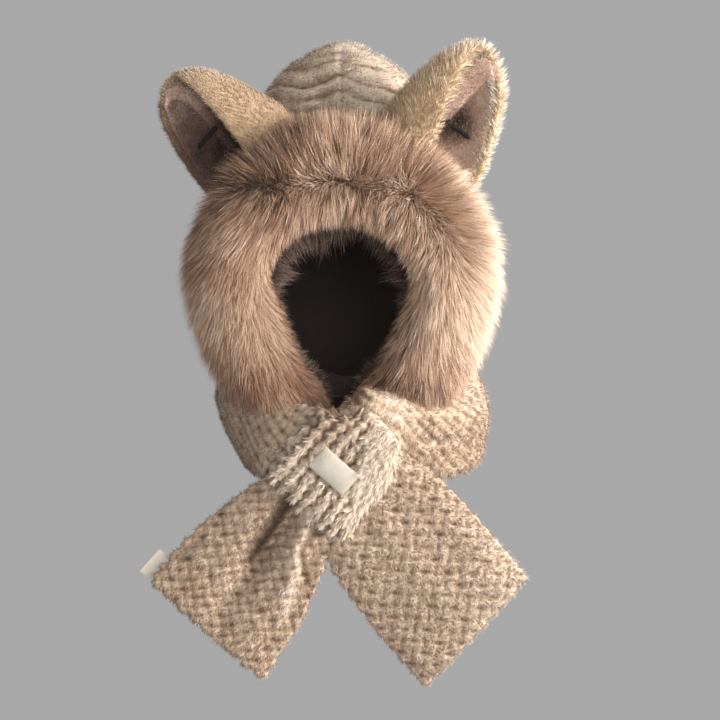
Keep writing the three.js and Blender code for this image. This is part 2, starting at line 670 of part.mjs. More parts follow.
function labelPatch() {
  const centre = THROAT.clone();
  centre.addScaledVector(BAND, PATCH_AT.across * LOOP_HALF_WIDTH);
  centre.addScaledVector(THREAD, (PATCH_AT.along * LOOP_LENGTH) / 2);
  const depth = GATHER + LOOP_WALL * 2;
  const rings = [0, depth].map((ahead) => [[-1, -1], [1, -1], [1, 1], [-1, 1]].map(([across, along]) => {
    const point = centre.clone().addScaledVector(FRONT, ahead);
    point.addScaledVector(BAND, (across * PATCH_LENGTH) / 2);
    return point.addScaledVector(THREAD, (along * PATCH_WIDTH) / 2);
  }));
  const prism = loft(rings);
  return largest(prism.intersect(loopPad(GAP + PATCH_THICK)).subtract(loopPad(GAP)));
}

// A ribbon tab folded out of the left tail's side seam
function seamTab(lines, tail) {
  const index = Math.round(lerp(lines.length - 1 - TAIL_LEFT.length * 2, lines.length - 1, TAB_AT));
  const [line, next] = [lines[index], lines[index + 1]];
  const along = next.top.clone().sub(line.top).normalize();
  const outward = line.top.clone().sub(line.low).normalize();
  const inside = SCARF_WALL / 2;
  const corners = [[0, -inside], [0, TAB_REACH], [TAB_LENGTH, TAB_REACH], [TAB_LENGTH, -inside]];
  const rings = [-1, 1].map((side) => corners.map(([down, out]) => {
    const point = line.top.clone().addScaledVector(along, down).addScaledVector(outward, out);
    return point.addScaledVector(FRONT, (side * TAB_THICK) / 2);
  }));
  return largest(loft(rings).subtract(tail));
}

function meshOf(name, solid, material) {
  const { vertProperties, triVerts } = solid.getMesh();
  const geometry = new THREE.BufferGeometry();
  geometry.setAttribute("position", new THREE.BufferAttribute(new Float32Array(vertProperties), 3));
  geometry.setIndex(new THREE.BufferAttribute(new Uint32Array(triVerts), 1));
  geometry.computeVertexNormals();
  const mesh = new THREE.Mesh(geometry, material);
  mesh.name = name;
  return mesh;
}

const plush = (color) => new THREE.MeshStandardMaterial({ color, roughness: 0.95, metalness: 0 });
const FINISH = {
  knit: plush("#cdb497"),
  fur: plush("#b08c72"),
  earPile: plush("#dcc3a0"),
  lining: plush("#8f7164"),
  satin: new THREE.MeshStandardMaterial({ color: "#e6ddcc", roughness: 0.4, metalness: 0 }),
};

const stripLines = rightStripLines();
const wrapLinesLeft = leftWrapLines();
const tailLinesRight = rightTailLines();
const hoodCutter = hoodForm(GAP);
const stripCutter = slab(stripLines, GAP);
const loopCutter = loopPad(GAP);

const strip = cutBy(slab(stripLines, 0), [hoodCutter]);
const loop = cutBy(loopPad(0), [stripCutter]);
const wrapLeft = cutBy(slab(wrapLinesLeft, 0), [hoodCutter, loopCutter, stripCutter]);
const tailRight = cutBy(slab(tailLinesRight, 0), [loopCutter, stripCutter]);

const model = new THREE.Group();
const [panelLeft, panelRight] = hoodPanels();
model.add(meshOf("hood_panel_left", panelLeft, FINISH.knit));
model.add(meshOf("hood_panel_right", panelRight, FINISH.knit));
const furCutters = [hoodCutter, stripCutter, loopCutter, slab(wrapLinesLeft, GAP)];
for (const ear of EARS) {
  const shellCutter = earShell(ear, GAP);
  model.add(meshOf(`ear_${ear.side}`, cutBy(earShell(ear, 0), [hoodCutter]), FINISH.earPile));
  model.add(meshOf(`ear_lining_${ear.side}`, cutBy(earLining(ear, 0), [hoodCutter]), FINISH.lining));
  furCutters.push(shellCutter, earLining(ear, GAP));
}
model.add(meshOf("fur_trim", furTrim(furCutters), FINISH.fur));
model.add(meshOf("scarf_strip_right", strip, FINISH.knit));
model.add(meshOf("keeper_loop", loop, FINISH.knit));
model.add(meshOf("scarf_wrap_left", wrapLeft, FINISH.knit));
model.add(meshOf("scarf_tail_right", tailRight, FINISH.knit));
model.add(meshOf("label_patch", labelPatch(), FINISH.satin));
model.add(meshOf("seam_tab", seamTab(stripLines, stripCutter), FINISH.satin));

export default model;
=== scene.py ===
"""Looks of the animal hood scarf: a plush hood with two ears, a deep fur trim and a scarf through its loop.

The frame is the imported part's own. +Z is up, the face opening looks along -Y, and left and right are as seen
from the front. The origin is where the crown of the head sits in the hood. Meshes, camera and studio are in
metres. The object's sizes, and the coordinates x, y and z of its points, are in millimetres.
"""

import itertools
import json
import logging
import math
from contextlib import contextmanager
from dataclasses import dataclass
from enum import Enum, IntEnum
from typing import Callable, Iterator, Union

import bmesh
import bpy
import numpy as np
from mathutils import Matrix, Vector, kdtree
from mathutils.bvhtree import BVHTree

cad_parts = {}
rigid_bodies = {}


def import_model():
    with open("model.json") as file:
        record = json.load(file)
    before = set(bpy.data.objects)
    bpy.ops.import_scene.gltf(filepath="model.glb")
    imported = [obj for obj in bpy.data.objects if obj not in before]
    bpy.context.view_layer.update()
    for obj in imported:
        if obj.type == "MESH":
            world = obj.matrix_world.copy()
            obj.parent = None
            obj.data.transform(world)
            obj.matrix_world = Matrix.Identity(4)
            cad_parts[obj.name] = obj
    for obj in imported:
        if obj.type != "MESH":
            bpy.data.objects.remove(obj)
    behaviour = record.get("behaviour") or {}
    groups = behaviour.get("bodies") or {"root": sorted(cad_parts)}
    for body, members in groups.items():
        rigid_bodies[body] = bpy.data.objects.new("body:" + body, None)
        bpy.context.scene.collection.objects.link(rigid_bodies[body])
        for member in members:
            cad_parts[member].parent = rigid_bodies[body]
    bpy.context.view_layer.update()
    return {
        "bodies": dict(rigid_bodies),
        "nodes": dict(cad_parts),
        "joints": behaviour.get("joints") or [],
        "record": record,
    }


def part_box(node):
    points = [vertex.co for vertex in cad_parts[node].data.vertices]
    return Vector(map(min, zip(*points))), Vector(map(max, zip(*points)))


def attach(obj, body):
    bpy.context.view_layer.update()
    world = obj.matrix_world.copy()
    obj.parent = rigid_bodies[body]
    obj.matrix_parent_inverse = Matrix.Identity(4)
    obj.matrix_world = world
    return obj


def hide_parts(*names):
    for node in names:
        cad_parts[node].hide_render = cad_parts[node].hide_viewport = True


LOG = logging.getLogger("hood_scarf")
BODY = "root"
MM = 0.001
SEED = 20261

Array = np.ndarray
Mesh = bpy.types.Mesh
Piece = bpy.types.Object
Material = bpy.types.Material
Screen = tuple[int, int, int]
Pixel = tuple[float, float]
Place = tuple[float, float, float]
Operand = Union["Value", float]
Field = Callable[["Spots"], Array]
Frame = Callable[["Spots"], tuple[Array, Array]]

# The loop that the scarf goes through: its centre, across its band, down the strip in it, and to the front
THROAT = np.array([1.0, -124.0, -300.0]) * MM
LOOP_SLOPE = math.radians(42)
BAND = np.array([math.cos(LOOP_SLOPE), 0.0, -math.sin(LOOP_SLOPE)])
THREAD = np.array([-math.sin(LOOP_SLOPE), 0.0, -math.cos(LOOP_SLOPE)])
FRONT = np.array([0.0, -1.0, 0.0])
UP = np.array([0.0, 0.0, 1.0])


def srgb(screen: Screen) -> tuple[float, ...]:
    """Turns a colour in screen values of 0 to 255 into a shader's linear colour with full alpha."""
    return (*(((value / 255 + 0.055) / 1.055) ** 2.4 for value in screen), 1.0)


def unit(vectors: Array) -> Array:
    """Scales each row of an array of vectors to length 1."""
    return vectors / np.maximum(np.linalg.norm(vectors, axis=-1, keepdims=True), 1e-9)


def dots(vectors: Array, others: Array) -> Array:
    """Multiplies vectors row by row and keeps one column, for use as weights."""
    return np.sum(vectors * others, axis=-1, keepdims=True)


def smoothstep(low: float, high: float, values: Array) -> Array:
    """Goes smoothly from 0 at low to 1 at high."""
    share = np.clip((values - low) / (high - low), 0, 1)
    return share * share * (3 - 2 * share)


def hump(values: Array, width: float) -> Array:
    """Is 1 where values are 0, and falls away to both sides."""
    return np.exp(-((values / width) ** 2))


def along_band(places: Array, middle: Array) -> tuple[Array, Array]:
    """How far across and down the loop from a middle places lie, in millimetres."""
    return (places - middle) @ BAND / MM, (places - middle) @ THREAD / MM


def shader_operators(operation: str) -> tuple[Callable, Callable]:
    """Makes the two methods of an operator, the second for a number on the left. Each adds a Math node."""

    def plain(self: "Value", other: Operand) -> "Value":
        """The value stands on the left."""
        return self.graph.node("Math", {"operation": operation}, {0: self, 1: other})

    def reflected(self: "Value", other: Operand) -> "Value":
        """The value stands on the right."""
        return self.graph.node("Math", {"operation": operation}, {0: other, 1: self})

    return plain, reflected


@dataclass
class Value:
    """An output of a shader node, which takes part in Python expressions."""

    graph: "Graph"
    node: bpy.types.Node
    output: Union[int, str] = 0

    __add__, __radd__ = shader_operators("ADD")
    __sub__, __rsub__ = shader_operators("SUBTRACT")
    __mul__, __rmul__ = shader_operators("MULTIPLY")
    __pow__, __rpow__ = shader_operators("POWER")


class Graph:
    """The node tree of one new material."""

    def __init__(self, name: str) -> None:
        """Makes an empty material of this name."""
        self.material = bpy.data.materials.new(name)
        self.material.use_nodes = True
        self.tree = self.material.node_tree
        self.tree.nodes.clear()

    def node(self, kind: str, settings: dict, sockets: dict, output: Union[int, str] = 0) -> Value:
        """Adds one node.

        Args:
            kind: The node's type.
            settings: Its own settings, set first. The stops of a ramp are a list of place and colour.
            sockets: The values or links of its input sockets, by name or number.
            output: The output that is wanted of it.

        Returns:
            That output.
        """
        node = self.tree.nodes.new("ShaderNode" + kind)
        for key, value in settings.items():
            if key == "stops":
                while len(node.color_ramp.elements) < len(value):
                    node.color_ramp.elements.new(0.5)
                for element, (place, colour) in zip(node.color_ramp.elements, value):
                    element.position = place
                    element.color = colour
            else:
                setattr(node, key, value)
        for key, value in sockets.items():
            if isinstance(value, Value):
                self.tree.links.new(value.node.outputs[value.output], node.inputs[key])
            else:
                node.inputs[key].default_value = value
        return Value(self, node, output)

    def clamp(self, value: Value) -> Value:
        """Keeps a value between 0 and 1."""
        return self.node("Clamp", {}, {0: value})

    def ramp(self, value: Value, *stops: tuple[float, Screen]) -> Value:
        """Turns a value from 0 to 1 into a colour by its stops."""
        linear = [(place, srgb(screen)) for place, screen in stops]
        return self.node("ValToRGB", {"stops": linear}, {0: self.clamp(value)})

    def blend(self, share: Value, first: Union[Value, tuple], second: Union[Value, tuple]) -> Value:
        """Mixes two colours by a share."""
        return self.node("Mix", {"data_type": "RGBA"}, {0: share, 6: first, 7: second}, 2)

    def noise(self, where: Value, scale: float, detail: float) -> Value:
        """Adds a noise pattern whose bumps are about 1 / scale metres wide."""
        return self.node("TexNoise", {}, {"Vector": where, "Scale": scale, "Detail": detail})

    def places(self) -> Value:
        """The piece's own coordinates, in metres."""
        return self.node("TexCoord", {}, {}, "Object")

    def attribute(self, name: str) -> Value:
        """A number that the piece's mesh holds at each point."""
        return self.node("Attribute", {"attribute_name": name}, {}, "Fac")

    def bump(self, height: Value, strength: float, distance: float) -> Value:
        """Turns a height into a tilt of the surface."""
        return self.node("Bump", {}, {"Height": height, "Strength": strength, "Distance": distance})

    def finish(self, sockets: dict) -> Material:
        """Ends the tree in a Principled shader with these sockets, and returns the material."""
        self.node("OutputMaterial", {}, {"Surface": self.node("BsdfPrincipled", {}, sockets)})
        return self.material


@dataclass(frozen=True)
class KnitFinish:
    """Plush knit: pale on its crests, with painted shade in its pits and on its inside, and fine fibres all
    over.
    """

    name: str
    crest: Screen
    middle: Screen
    pit: Screen
    inside: Screen

    def material(self) -> Material:
        """Makes the material from the relief attribute and the inner mask, painting pits and inside dark as
        shade.
        """
        graph = Graph(self.name)
        where = graph.places()
        mottle = graph.noise(where, 70, 3)
        fibre = graph.noise(graph.node("Mapping", {}, {"Vector": where, "Scale": (1, 1, 0.35)}), 900, 3)
        tone = graph.attribute("relief") * 0.8 + mottle * 0.35 + fibre * 0.3 - 0.28
        outer = graph.ramp(tone, (0.0, self.pit), (0.45, self.middle), (0.9, self.crest))
        sockets = {
            "Base Color": graph.blend(graph.attribute("inner"), outer, srgb(self.inside)),
            "Roughness": 0.92,
            "Sheen Weight": 0.25,
            "Sheen Roughness": 0.6,
            "Specular IOR Level": 0.2,
            "Normal": graph.bump(fibre, 0.7, 0.0012),
        }
        return graph.finish(sockets)


@dataclass(frozen=True)
class PileFinish:
    """Hairs that are dark at their roots, painted shade deep in the pile, with tips from dull to bright."""

    name: str
    root: Screen
    dark: Screen
    dull: Screen
    bright: Screen
    root_share: float = 0.5

    def material(self) -> Material:
        """Makes the material. Its map holds each hair's shade across and its length upwards."""
        graph = Graph(self.name)
        split = graph.node("SeparateXYZ", {}, {0: graph.node("UVMap", {"uv_map": "OFBake"}, {})})
        along = Value(graph, split.node, 1)
        tip = graph.ramp(split + along ** 5 * 0.12, (0.0, self.dark), (0.38, self.dull), (1.0, self.bright))
        sockets = {
            "Base Color": graph.blend(graph.clamp(along ** self.root_share), srgb(self.root), tip),
            "Roughness": 0.62,
            "Specular IOR Level": 0.3,
            "Sheen Weight": 0.15,
        }
        return graph.finish(sockets)


@dataclass(frozen=True)
class ClothFinish:
    """Smooth woven cloth or thread, with a fine rib across it."""

    name: str
    light: Screen
    dark: Screen
    roughness: float
    rib: float
    rib_depth: float

    def material(self) -> Material:
        """Makes the material, with its rib along the piece's X and Z."""
        graph = Graph(self.name)
        where = graph.places()
        ribs = {"Vector": where, "Scale": self.rib}
        weave = graph.node("TexWave", {"bands_direction": "DIAGONAL"}, ribs, 1)
        share = graph.clamp(graph.noise(where, 90, 2) * 0.6 + weave * 0.25)
        sockets = {
            "Base Color": graph.blend(share, srgb(self.dark), srgb(self.light)),
            "Roughness": self.roughness,
            "Sheen Weight": 0.1,
            "Normal": graph.bump(weave, 0.35, self.rib_depth),
        }
        return graph.finish(sockets)


@dataclass(frozen=True)
class StageFinish:
    """Plain matt paper of the floor and the wall behind."""

    name: str
    colour: Screen

    def material(self) -> Material:
        """Makes the material. It glows as bright as it looks, so that light and shadow don't show on it."""
        sockets = {
            "Base Color": (0.0, 0.0, 0.0, 1.0),
            "Roughness": 1.0,
            "Specular IOR Level": 0.0,
            "Emission Color": srgb(self.colour),
            "Emission Strength": 1.0,
        }
        return Graph(self.name).finish(sockets)


class Slot(Enum):
    """The record's material slots."""

    KNIT = "knit_plush"
    FUR = "fur"
    EAR = "ear_pile"
    LINING = "ear_lining"
    LABEL = "label_satin"
    THREAD = "stitching"


# A knit finish has colours from crest to pit and one for its inside, a pile finish from root to bright tip
# The dark pit and inside colours of a knit finish and the dark root of a pile finish are painted shade
FINISHES = {
    Slot.KNIT: (
        KnitFinish("knit_cloth", (212, 193, 172), (178, 153, 129), (92, 68, 50), (48, 39, 34)),
        PileFinish("knit_hairs", (146, 118, 94), (98, 73, 54), (174, 149, 125), (250, 236, 218), 0.7),
    ),
    Slot.FUR: (
        ClothFinish("fur_backing", (138, 104, 80), (96, 70, 54), 0.9, 400, 0.0004),
        PileFinish("fur_hairs", (108, 76, 56), (58, 42, 36), (176, 135, 106), (252, 226, 200)),
        # The fringe's dark colours are painted shade round the opening
        PileFinish("fringe_hairs", (40, 29, 26), (70, 52, 46), (120, 94, 82), (206, 178, 158), 1.4),
    ),
    # The lining's dark colours paint the shadow in the ear's hollow, its pale ones the light on the flange
    Slot.LINING: (
        KnitFinish("cup_backing", (206, 174, 156), (120, 94, 82), (40, 29, 25), (40, 29, 25)),
        PileFinish("cup_hairs", (108, 82, 72), (44, 32, 27), (152, 122, 108), (252, 228, 212)),
    ),
    Slot.THREAD: (ClothFinish("black_thread", (12, 11, 11), (5, 5, 5), 0.7, 900, 0.0003),),
    Slot.LABEL: (ClothFinish("cream_satin", (190, 181, 166), (174, 165, 150), 0.3, 1400, 0.0002),),
    Slot.EAR: (
        KnitFinish("golden_backing", (196, 166, 130), (150, 120, 92), (92, 70, 54), (92, 70, 54)),
        PileFinish("golden_hairs", (156, 128, 102), (100, 76, 58), (178, 150, 124), (242, 222, 198)),
        KnitFinish("cream_backing", (208, 182, 148), (170, 142, 112), (110, 86, 66), (110, 86, 66)),
        PileFinish("cream_hairs", (190, 162, 130), (130, 104, 80), (212, 186, 156), (255, 250, 232)),
    ),
}


@dataclass
class Spots:
    """Points in metres and the way that their surface faces there. Their x, y and z are in millimetres."""

    places: Array
    facing: Array

    def __post_init__(self) -> None:
        """Splits the points into their coordinates."""
        self.x, self.y, self.z = self.places.T / MM

    def noise(self, size: float, seed: int, squeeze: Place = (1, 1, 1)) -> Array:
        """Gives smooth random values between -1 and 1.

        Args:
            size: How wide the bumps are, in millimetres.
            seed: Picks the pattern.
            squeeze: Scales the coordinates, so that the bumps are longer where it is below 1.

        Returns:
            One value for each point.
        """
        side = 48
        table = np.random.default_rng(seed).uniform(-1, 1, (side, side, side))
        scaled = self.places * squeeze / (size * MM)
        cell = np.floor(scaled).astype(int)
        part = scaled - cell
        part = part * part * (3 - 2 * part)
        total = np.zeros(len(scaled))
        for corner in itertools.product((0, 1), repeat=3):
            index = (cell + np.array(corner)) % side
            weight = np.prod(np.where(np.array(corner) == 1, part, 1 - part), axis=1)
            total += table[index[:, 0], index[:, 1], index[:, 2]] * weight
        return total


@dataclass
class Surface(Spots):
    """The points of a whole mesh, with its triangles."""

    triangles: Array

    @classmethod
    def of(cls, mesh: Mesh) -> "Surface":
        """Reads a mesh."""
        places, facing = np.empty((2, len(mesh.vertices) * 3), np.float32)
        mesh.vertices.foreach_get("co", places)
        mesh.vertices.foreach_get("normal", facing)
        mesh.calc_loop_triangles()
        triangles = np.empty(len(mesh.loop_triangles) * 3, np.int32)
        mesh.loop_triangles.foreach_get("vertices", triangles)
        places, facing = (numbers.reshape(-1, 3).astype(float) for numbers in (places, facing))
        return cls(places, facing, triangles.reshape(-1, 3))

    def scatter(self, count: int, rng: np.random.Generator, density: Field) -> Spots:
        """Picks random points on the surface.

        Args:
            count: How many.
            rng: The random source.
            density: Gives a weight for each point; 0 picks nothing there.

        Returns:
            The points.
        """
        corners = self.places[self.triangles]
        normal = np.cross(corners[:, 1] - corners[:, 0], corners[:, 2] - corners[:, 0])
        area = np.linalg.norm(normal, axis=1)
        weight = area * density(Spots(corners.mean(axis=1), unit(normal)))
        chosen = rng.choice(len(area), count, p=weight / weight.sum())
        first, second = rng.random((2, count, 1))
        flip = first + second > 1
        first, second = np.where(flip, 1 - first, first), np.where(flip, 1 - second, second)
        shares = (1 - first - second, first, second)
        picked = self.triangles[chosen]
        points = sum(share * self.places[picked[:, k]] for k, share in enumerate(shares))
        facing = sum(share * self.facing[picked[:, k]] for k, share in enumerate(shares))
        return Spots(points, unit(facing))


def nowhere(spots: Spots) -> Array:
    """Nothing at any point."""
    return np.zeros(len(spots.places))


def everywhere(spots: Spots) -> Array:
    """All at every point."""
    return np.ones(len(spots.places))


def unmoved(spots: Spots) -> Array:
    """Moves no point."""
    return np.zeros_like(spots.places)


@contextmanager
def edited(mesh: Mesh, source: Union[Mesh, None] = None) -> Iterator[bmesh.types.BMesh]:
    """Opens a mesh, or the source that it is made from, for bmesh operators, and keeps what they make."""
    shape = bmesh.new()
    shape.from_mesh(source or mesh)
    yield shape
    shape.to_mesh(mesh)
    shape.free()


@dataclass
class Kit:
    """What the sub-assemblies build with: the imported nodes, and each finish's material and slot by name."""

    nodes: dict[str, Piece]
    looks: dict[str, tuple[Material, Slot]]

    def copy(self, node: str) -> Mesh:
        """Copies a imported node's mesh and merges its loose triangles."""
        mesh = bpy.data.meshes.new(node)
        with edited(mesh, self.nodes[node].data) as shape:
            bmesh.ops.remove_doubles(shape, verts=shape.verts, dist=0.01 * MM)
        return mesh

    def add(self, name: str, mesh: Mesh, look: str) -> Piece:
        """Puts a mesh in the scene as a piece of the object that rides on its body."""
        material, slot = self.looks[look]
        piece = bpy.data.objects.new(name, mesh)
        bpy.context.scene.collection.objects.link(piece)
        mesh.materials.clear()
        mesh.materials.append(material)
        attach(piece, BODY)
        return piece


def cut_mesh(mesh: Mesh, point: Array, direction: Array) -> None:
    """Cuts off what lies on the far side of a plane, and closes the cut.

    Args:
        mesh: The closed mesh.
        point: A point of the plane, in metres.
        direction: Points to the side that is cut off.
    """
    with edited(mesh) as shape:
        everything = shape.verts[:] + shape.edges[:] + shape.faces[:]
        cut = bmesh.ops.bisect_plane(
            shape, geom=everything, plane_co=Vector(point), plane_no=Vector(direction), clear_outer=True
        )
        edges = [item for item in cut["geom_cut"] if isinstance(item, bmesh.types.BMEdge)]
        bmesh.ops.holes_fill(shape, edges=edges)


def add_tuck(mesh: Mesh, middle: Place, radii: Place, turn: float) -> None:
    """Adds a soft lump to a mesh, which its skin then takes in.

    Args:
        mesh: The closed mesh.
        middle: Where the lump is.
        radii: How far it reaches along X, Y and Z.
        turn: How far it is turned about Y, in degrees.
    """
    with edited(mesh) as shape:
        lump = bmesh.ops.create_uvsphere(shape, u_segments=24, v_segments=12, radius=1)["verts"]
        bmesh.ops.scale(shape, vec=Vector(np.array(radii) * MM), verts=lump)
        matrix = Matrix.Rotation(math.radians(turn), 3, "Y")
        bmesh.ops.rotate(shape, cent=Vector(), matrix=matrix, verts=lump)
        bmesh.ops.translate(shape, vec=Vector(np.array(middle) * MM), verts=lump)


def mark_seam(mesh: Mesh, seam: float) -> None:
    """Gives the rim of a flat seam face a sharp edge, so that the cloth shades evenly up to it.

    Args:
        mesh: The mesh.
        seam: Where the seam face lies on X.
    """
    with edited(mesh) as shape:
        joined = {f for f in shape.faces if all(abs(v.co.x - seam * MM) < 0.005 * MM for v in f.verts)}
        for edge in shape.edges:
            edge.smooth = len({face in joined for face in edge.link_faces}) < 2


def reskinned(mesh: Mesh, skin: float, rounds: int) -> Mesh:
    """Gives a closed mesh one even skin of small faces, and rounds off its facets.

    Args:
        mesh: The closed mesh, which is left as it is.
        skin: Size of a face.
        rounds: How often the skin is smoothed.

    Returns:
        The new mesh.
    """
    holder = bpy.data.objects.new("holder", mesh)
    bpy.context.scene.collection.objects.link(holder)
    remesh = holder.modifiers.new("Skin", "REMESH")
    remesh.mode = "VOXEL"
    remesh.voxel_size = skin * MM
    smooth = holder.modifiers.new("Rounding", "SMOOTH")
    smooth.factor = 0.5
    smooth.iterations = rounds
    graph = bpy.context.evaluated_depsgraph_get()
    made = bpy.data.meshes.new_from_object(holder.evaluated_get(graph))
    bpy.data.objects.remove(holder)
    made.name = mesh.name
    made.shade_smooth()
    return made


def set_places(mesh: Mesh, places: Array) -> None:
    """Moves a mesh's vertices."""
    mesh.vertices.foreach_set("co", places.astype(np.float32).ravel())
    mesh.update()


def set_number(mesh: Mesh, name: str, values: Array) -> None:
    """Keeps a number at each vertex of a mesh, for its material."""
    layer = mesh.attributes.new(name, "FLOAT", "POINT")
    layer.data.foreach_set("value", values.astype(np.float32))


@dataclass(frozen=True)
class Pile:
    """How hairs grow: sizes in millimetres, angles in degrees from the surface's own direction."""

    length: float
    width: float
    root_lean: float
    tip_lean: float
    wander: float
    lock_spacing: float
    lock_pull: float
    lock_varies: float
    levels: int = 2
    fall: float = 0.0
    length_varies: float = 0.2
    shade_varies: float = 0.12


# The short pile of the knit, and the longer one of the loop
PLUSH = Pile(4.6, 0.55, 25, 60, 0.35, 4.0, 0.35, 0.2, levels=1, fall=0.05)
CURLED = Pile(6.4, 0.6, 34, 72, 0.36, 5.5, 0.4, 0.2, levels=1, fall=0.05)
# The trim's long pile, the calmer one on its left, and the fringe round its opening
LONG = Pile(33, 0.8, 32, 78, 0.16, 6.5, 0.36, 0.26, fall=0.04, length_varies=0.3, shade_varies=0.2)
CALM = Pile(28.5, 0.75, 29, 67, 0.24, 5.5, 0.26, 0.12, fall=0.04, length_varies=0.3)
FRINGE = Pile(31, 0.8, 6, 34, 0.35, 6.0, 0.45, 0.3, length_varies=0.35, shade_varies=0.25)
# The pile of the left ear, of the right ear, and of the linings
VELVET = Pile(4.6, 0.5, 24, 54, 0.3, 4.0, 0.15, 0.16, levels=1, shade_varies=0.1)
SPIKY = Pile(9.5, 0.7, 20, 50, 0.25, 4.5, 0.45, 0.25, levels=1)
NAP = Pile(4.5, 0.55, 25, 58, 0.3, 4.0, 0.3, 0.12, levels=1)


@dataclass
class Hairs:
    """Many hairs in one mesh. Each is a narrow blade that bends, with its tip a point."""

    name: str
    pile: Pile
    seed: int

    def grow(self, roots: Spots, flow: Array, length: Array, shade: Array) -> Mesh:
        """Grows the hairs.

        Args:
            roots: Where they start.
            flow: The way that the pile is brushed there. A short vector leaves it standing.
            length: A share of the pile's length for each.
            shade: From 0, dull, to 1, bright, for each.

        Returns:
            The mesh, with its map of shade and length.
        """
        pile, facing, rng = self.pile, roots.facing, np.random.default_rng(self.seed)
        count = len(facing)
        leader = self._leaders(roots.places, rng)
        whims = rng.normal(0, 1, (count, 4))
        along = flow - facing * dots(flow, facing)
        laid = np.clip(np.linalg.norm(along, axis=1, keepdims=True), 0, 1)
        along = unit(along) + rng.normal(0, pile.wander, (count, 3)) + pile.wander * 0.8 * whims[leader, :3]
        along = unit(along - facing * dots(along, facing))
        reach = pile.length * MM * length * (1 + pile.length_varies * rng.uniform(-1, 1, count))
        points = np.empty((count, pile.levels + 1, 3))
        points[:, 0] = roots.places
        for level in range(pile.levels):
            lean = pile.root_lean + (pile.tip_lean - pile.root_lean) * (level + 0.5) / pile.levels
            lean = np.radians(lean) * laid
            step = facing * np.cos(lean) + along * np.sin(lean) - UP * pile.fall * (level + 0.5)
            points[:, level + 1] = points[:, level] + unit(step) * (reach / pile.levels)[:, None]
        for level in range(1, pile.levels + 1):
            pull = pile.lock_pull * (level / pile.levels) ** 1.4
            points[:, level] += (points[leader, level] - points[:, level]) * pull
        direction = unit(points[:, -1] - points[:, 0])
        face = unit(facing - direction * dots(facing, direction))
        turn = rng.uniform(-0.9, 0.9, (count, 1))
        side = unit(np.cross(direction, face)) * np.cos(turn) + face * np.sin(turn)
        tone = shade + pile.lock_varies * np.clip(whims[leader, 3], -2, 2) * 0.5
        tone += pile.shade_varies * whims[:, 3]
        half = pile.width * MM / 2 * rng.uniform(0.75, 1.25, count)
        return self._blades(points, side * half[:, None], np.clip(tone, 0, 1))

    def _leaders(self, roots: Array, rng: np.random.Generator) -> Array:
        """Finds the hair that each hair's lock gathers round."""
        reach = roots.max(axis=0) - roots.min(axis=0)
        around = 2 * (reach[0] * reach[1] + reach[1] * reach[2] + reach[2] * reach[0])
        wanted = int(around / (self.pile.lock_spacing * MM) ** 2)
        chosen = rng.choice(len(roots), min(max(wanted, 8), len(roots) // 3), replace=False)
        tree = kdtree.KDTree(len(chosen))
        for number, index in enumerate(chosen):
            tree.insert(roots[index], number)
        tree.balance()
        return chosen[[tree.find(root)[1] for root in roots]]

    def _blades(self, points: Array, side: Array, tone: Array) -> Mesh:
        """Joins the blades into one mesh."""
        count, body = len(points), points.shape[1] - 1
        taper = np.linspace(1, 0.45, body)
        corners = np.empty((count, 2 * body + 1, 3))
        for level in range(body):
            corners[:, 2 * level] = points[:, level] - side * taper[level]
            corners[:, 2 * level + 1] = points[:, level] + side * taper[level]
        corners[:, -1] = points[:, -1]
        faces = [[2 * k, 2 * k + 1, 2 * k + 3, 2 * k + 2] for k in range(body - 1)]
        faces.append([2 * body - 2, 2 * body - 1, 2 * body])
        pattern = np.array([corner for face in faces for corner in face])
        starts = np.cumsum([0] + [len(face) for face in faces])[:-1]
        loops = np.arange(count)[:, None] * (2 * body + 1) + pattern[None, :]
        mesh = bpy.data.meshes.new(self.name)
        mesh.vertices.add(corners.shape[0] * corners.shape[1])
        mesh.vertices.foreach_set("co", corners.astype(np.float32).ravel())
        mesh.loops.add(loops.size)
        mesh.loops.foreach_set("vertex_index", loops.astype(np.int32).ravel())
        mesh.polygons.add(count * len(faces))
        offsets = np.arange(count)[:, None] * len(pattern) + starts[None, :]
        mesh.polygons.foreach_set("loop_start", offsets.astype(np.int32).ravel())
        mesh.update(calc_edges=True)
        height = np.append(np.repeat(np.arange(body) / body, 2), 1.0)
        uv = np.empty((count, len(pattern), 2))
        uv[:, :, 0] = 0.02 + 0.96 * tone[:, None]
        uv[:, :, 1] = 0.02 + 0.96 * height[pattern][None, :]
        mesh.uv_layers.new(name="OFBake").data.foreach_set("uv", uv.astype(np.float32).ravel())
        return mesh


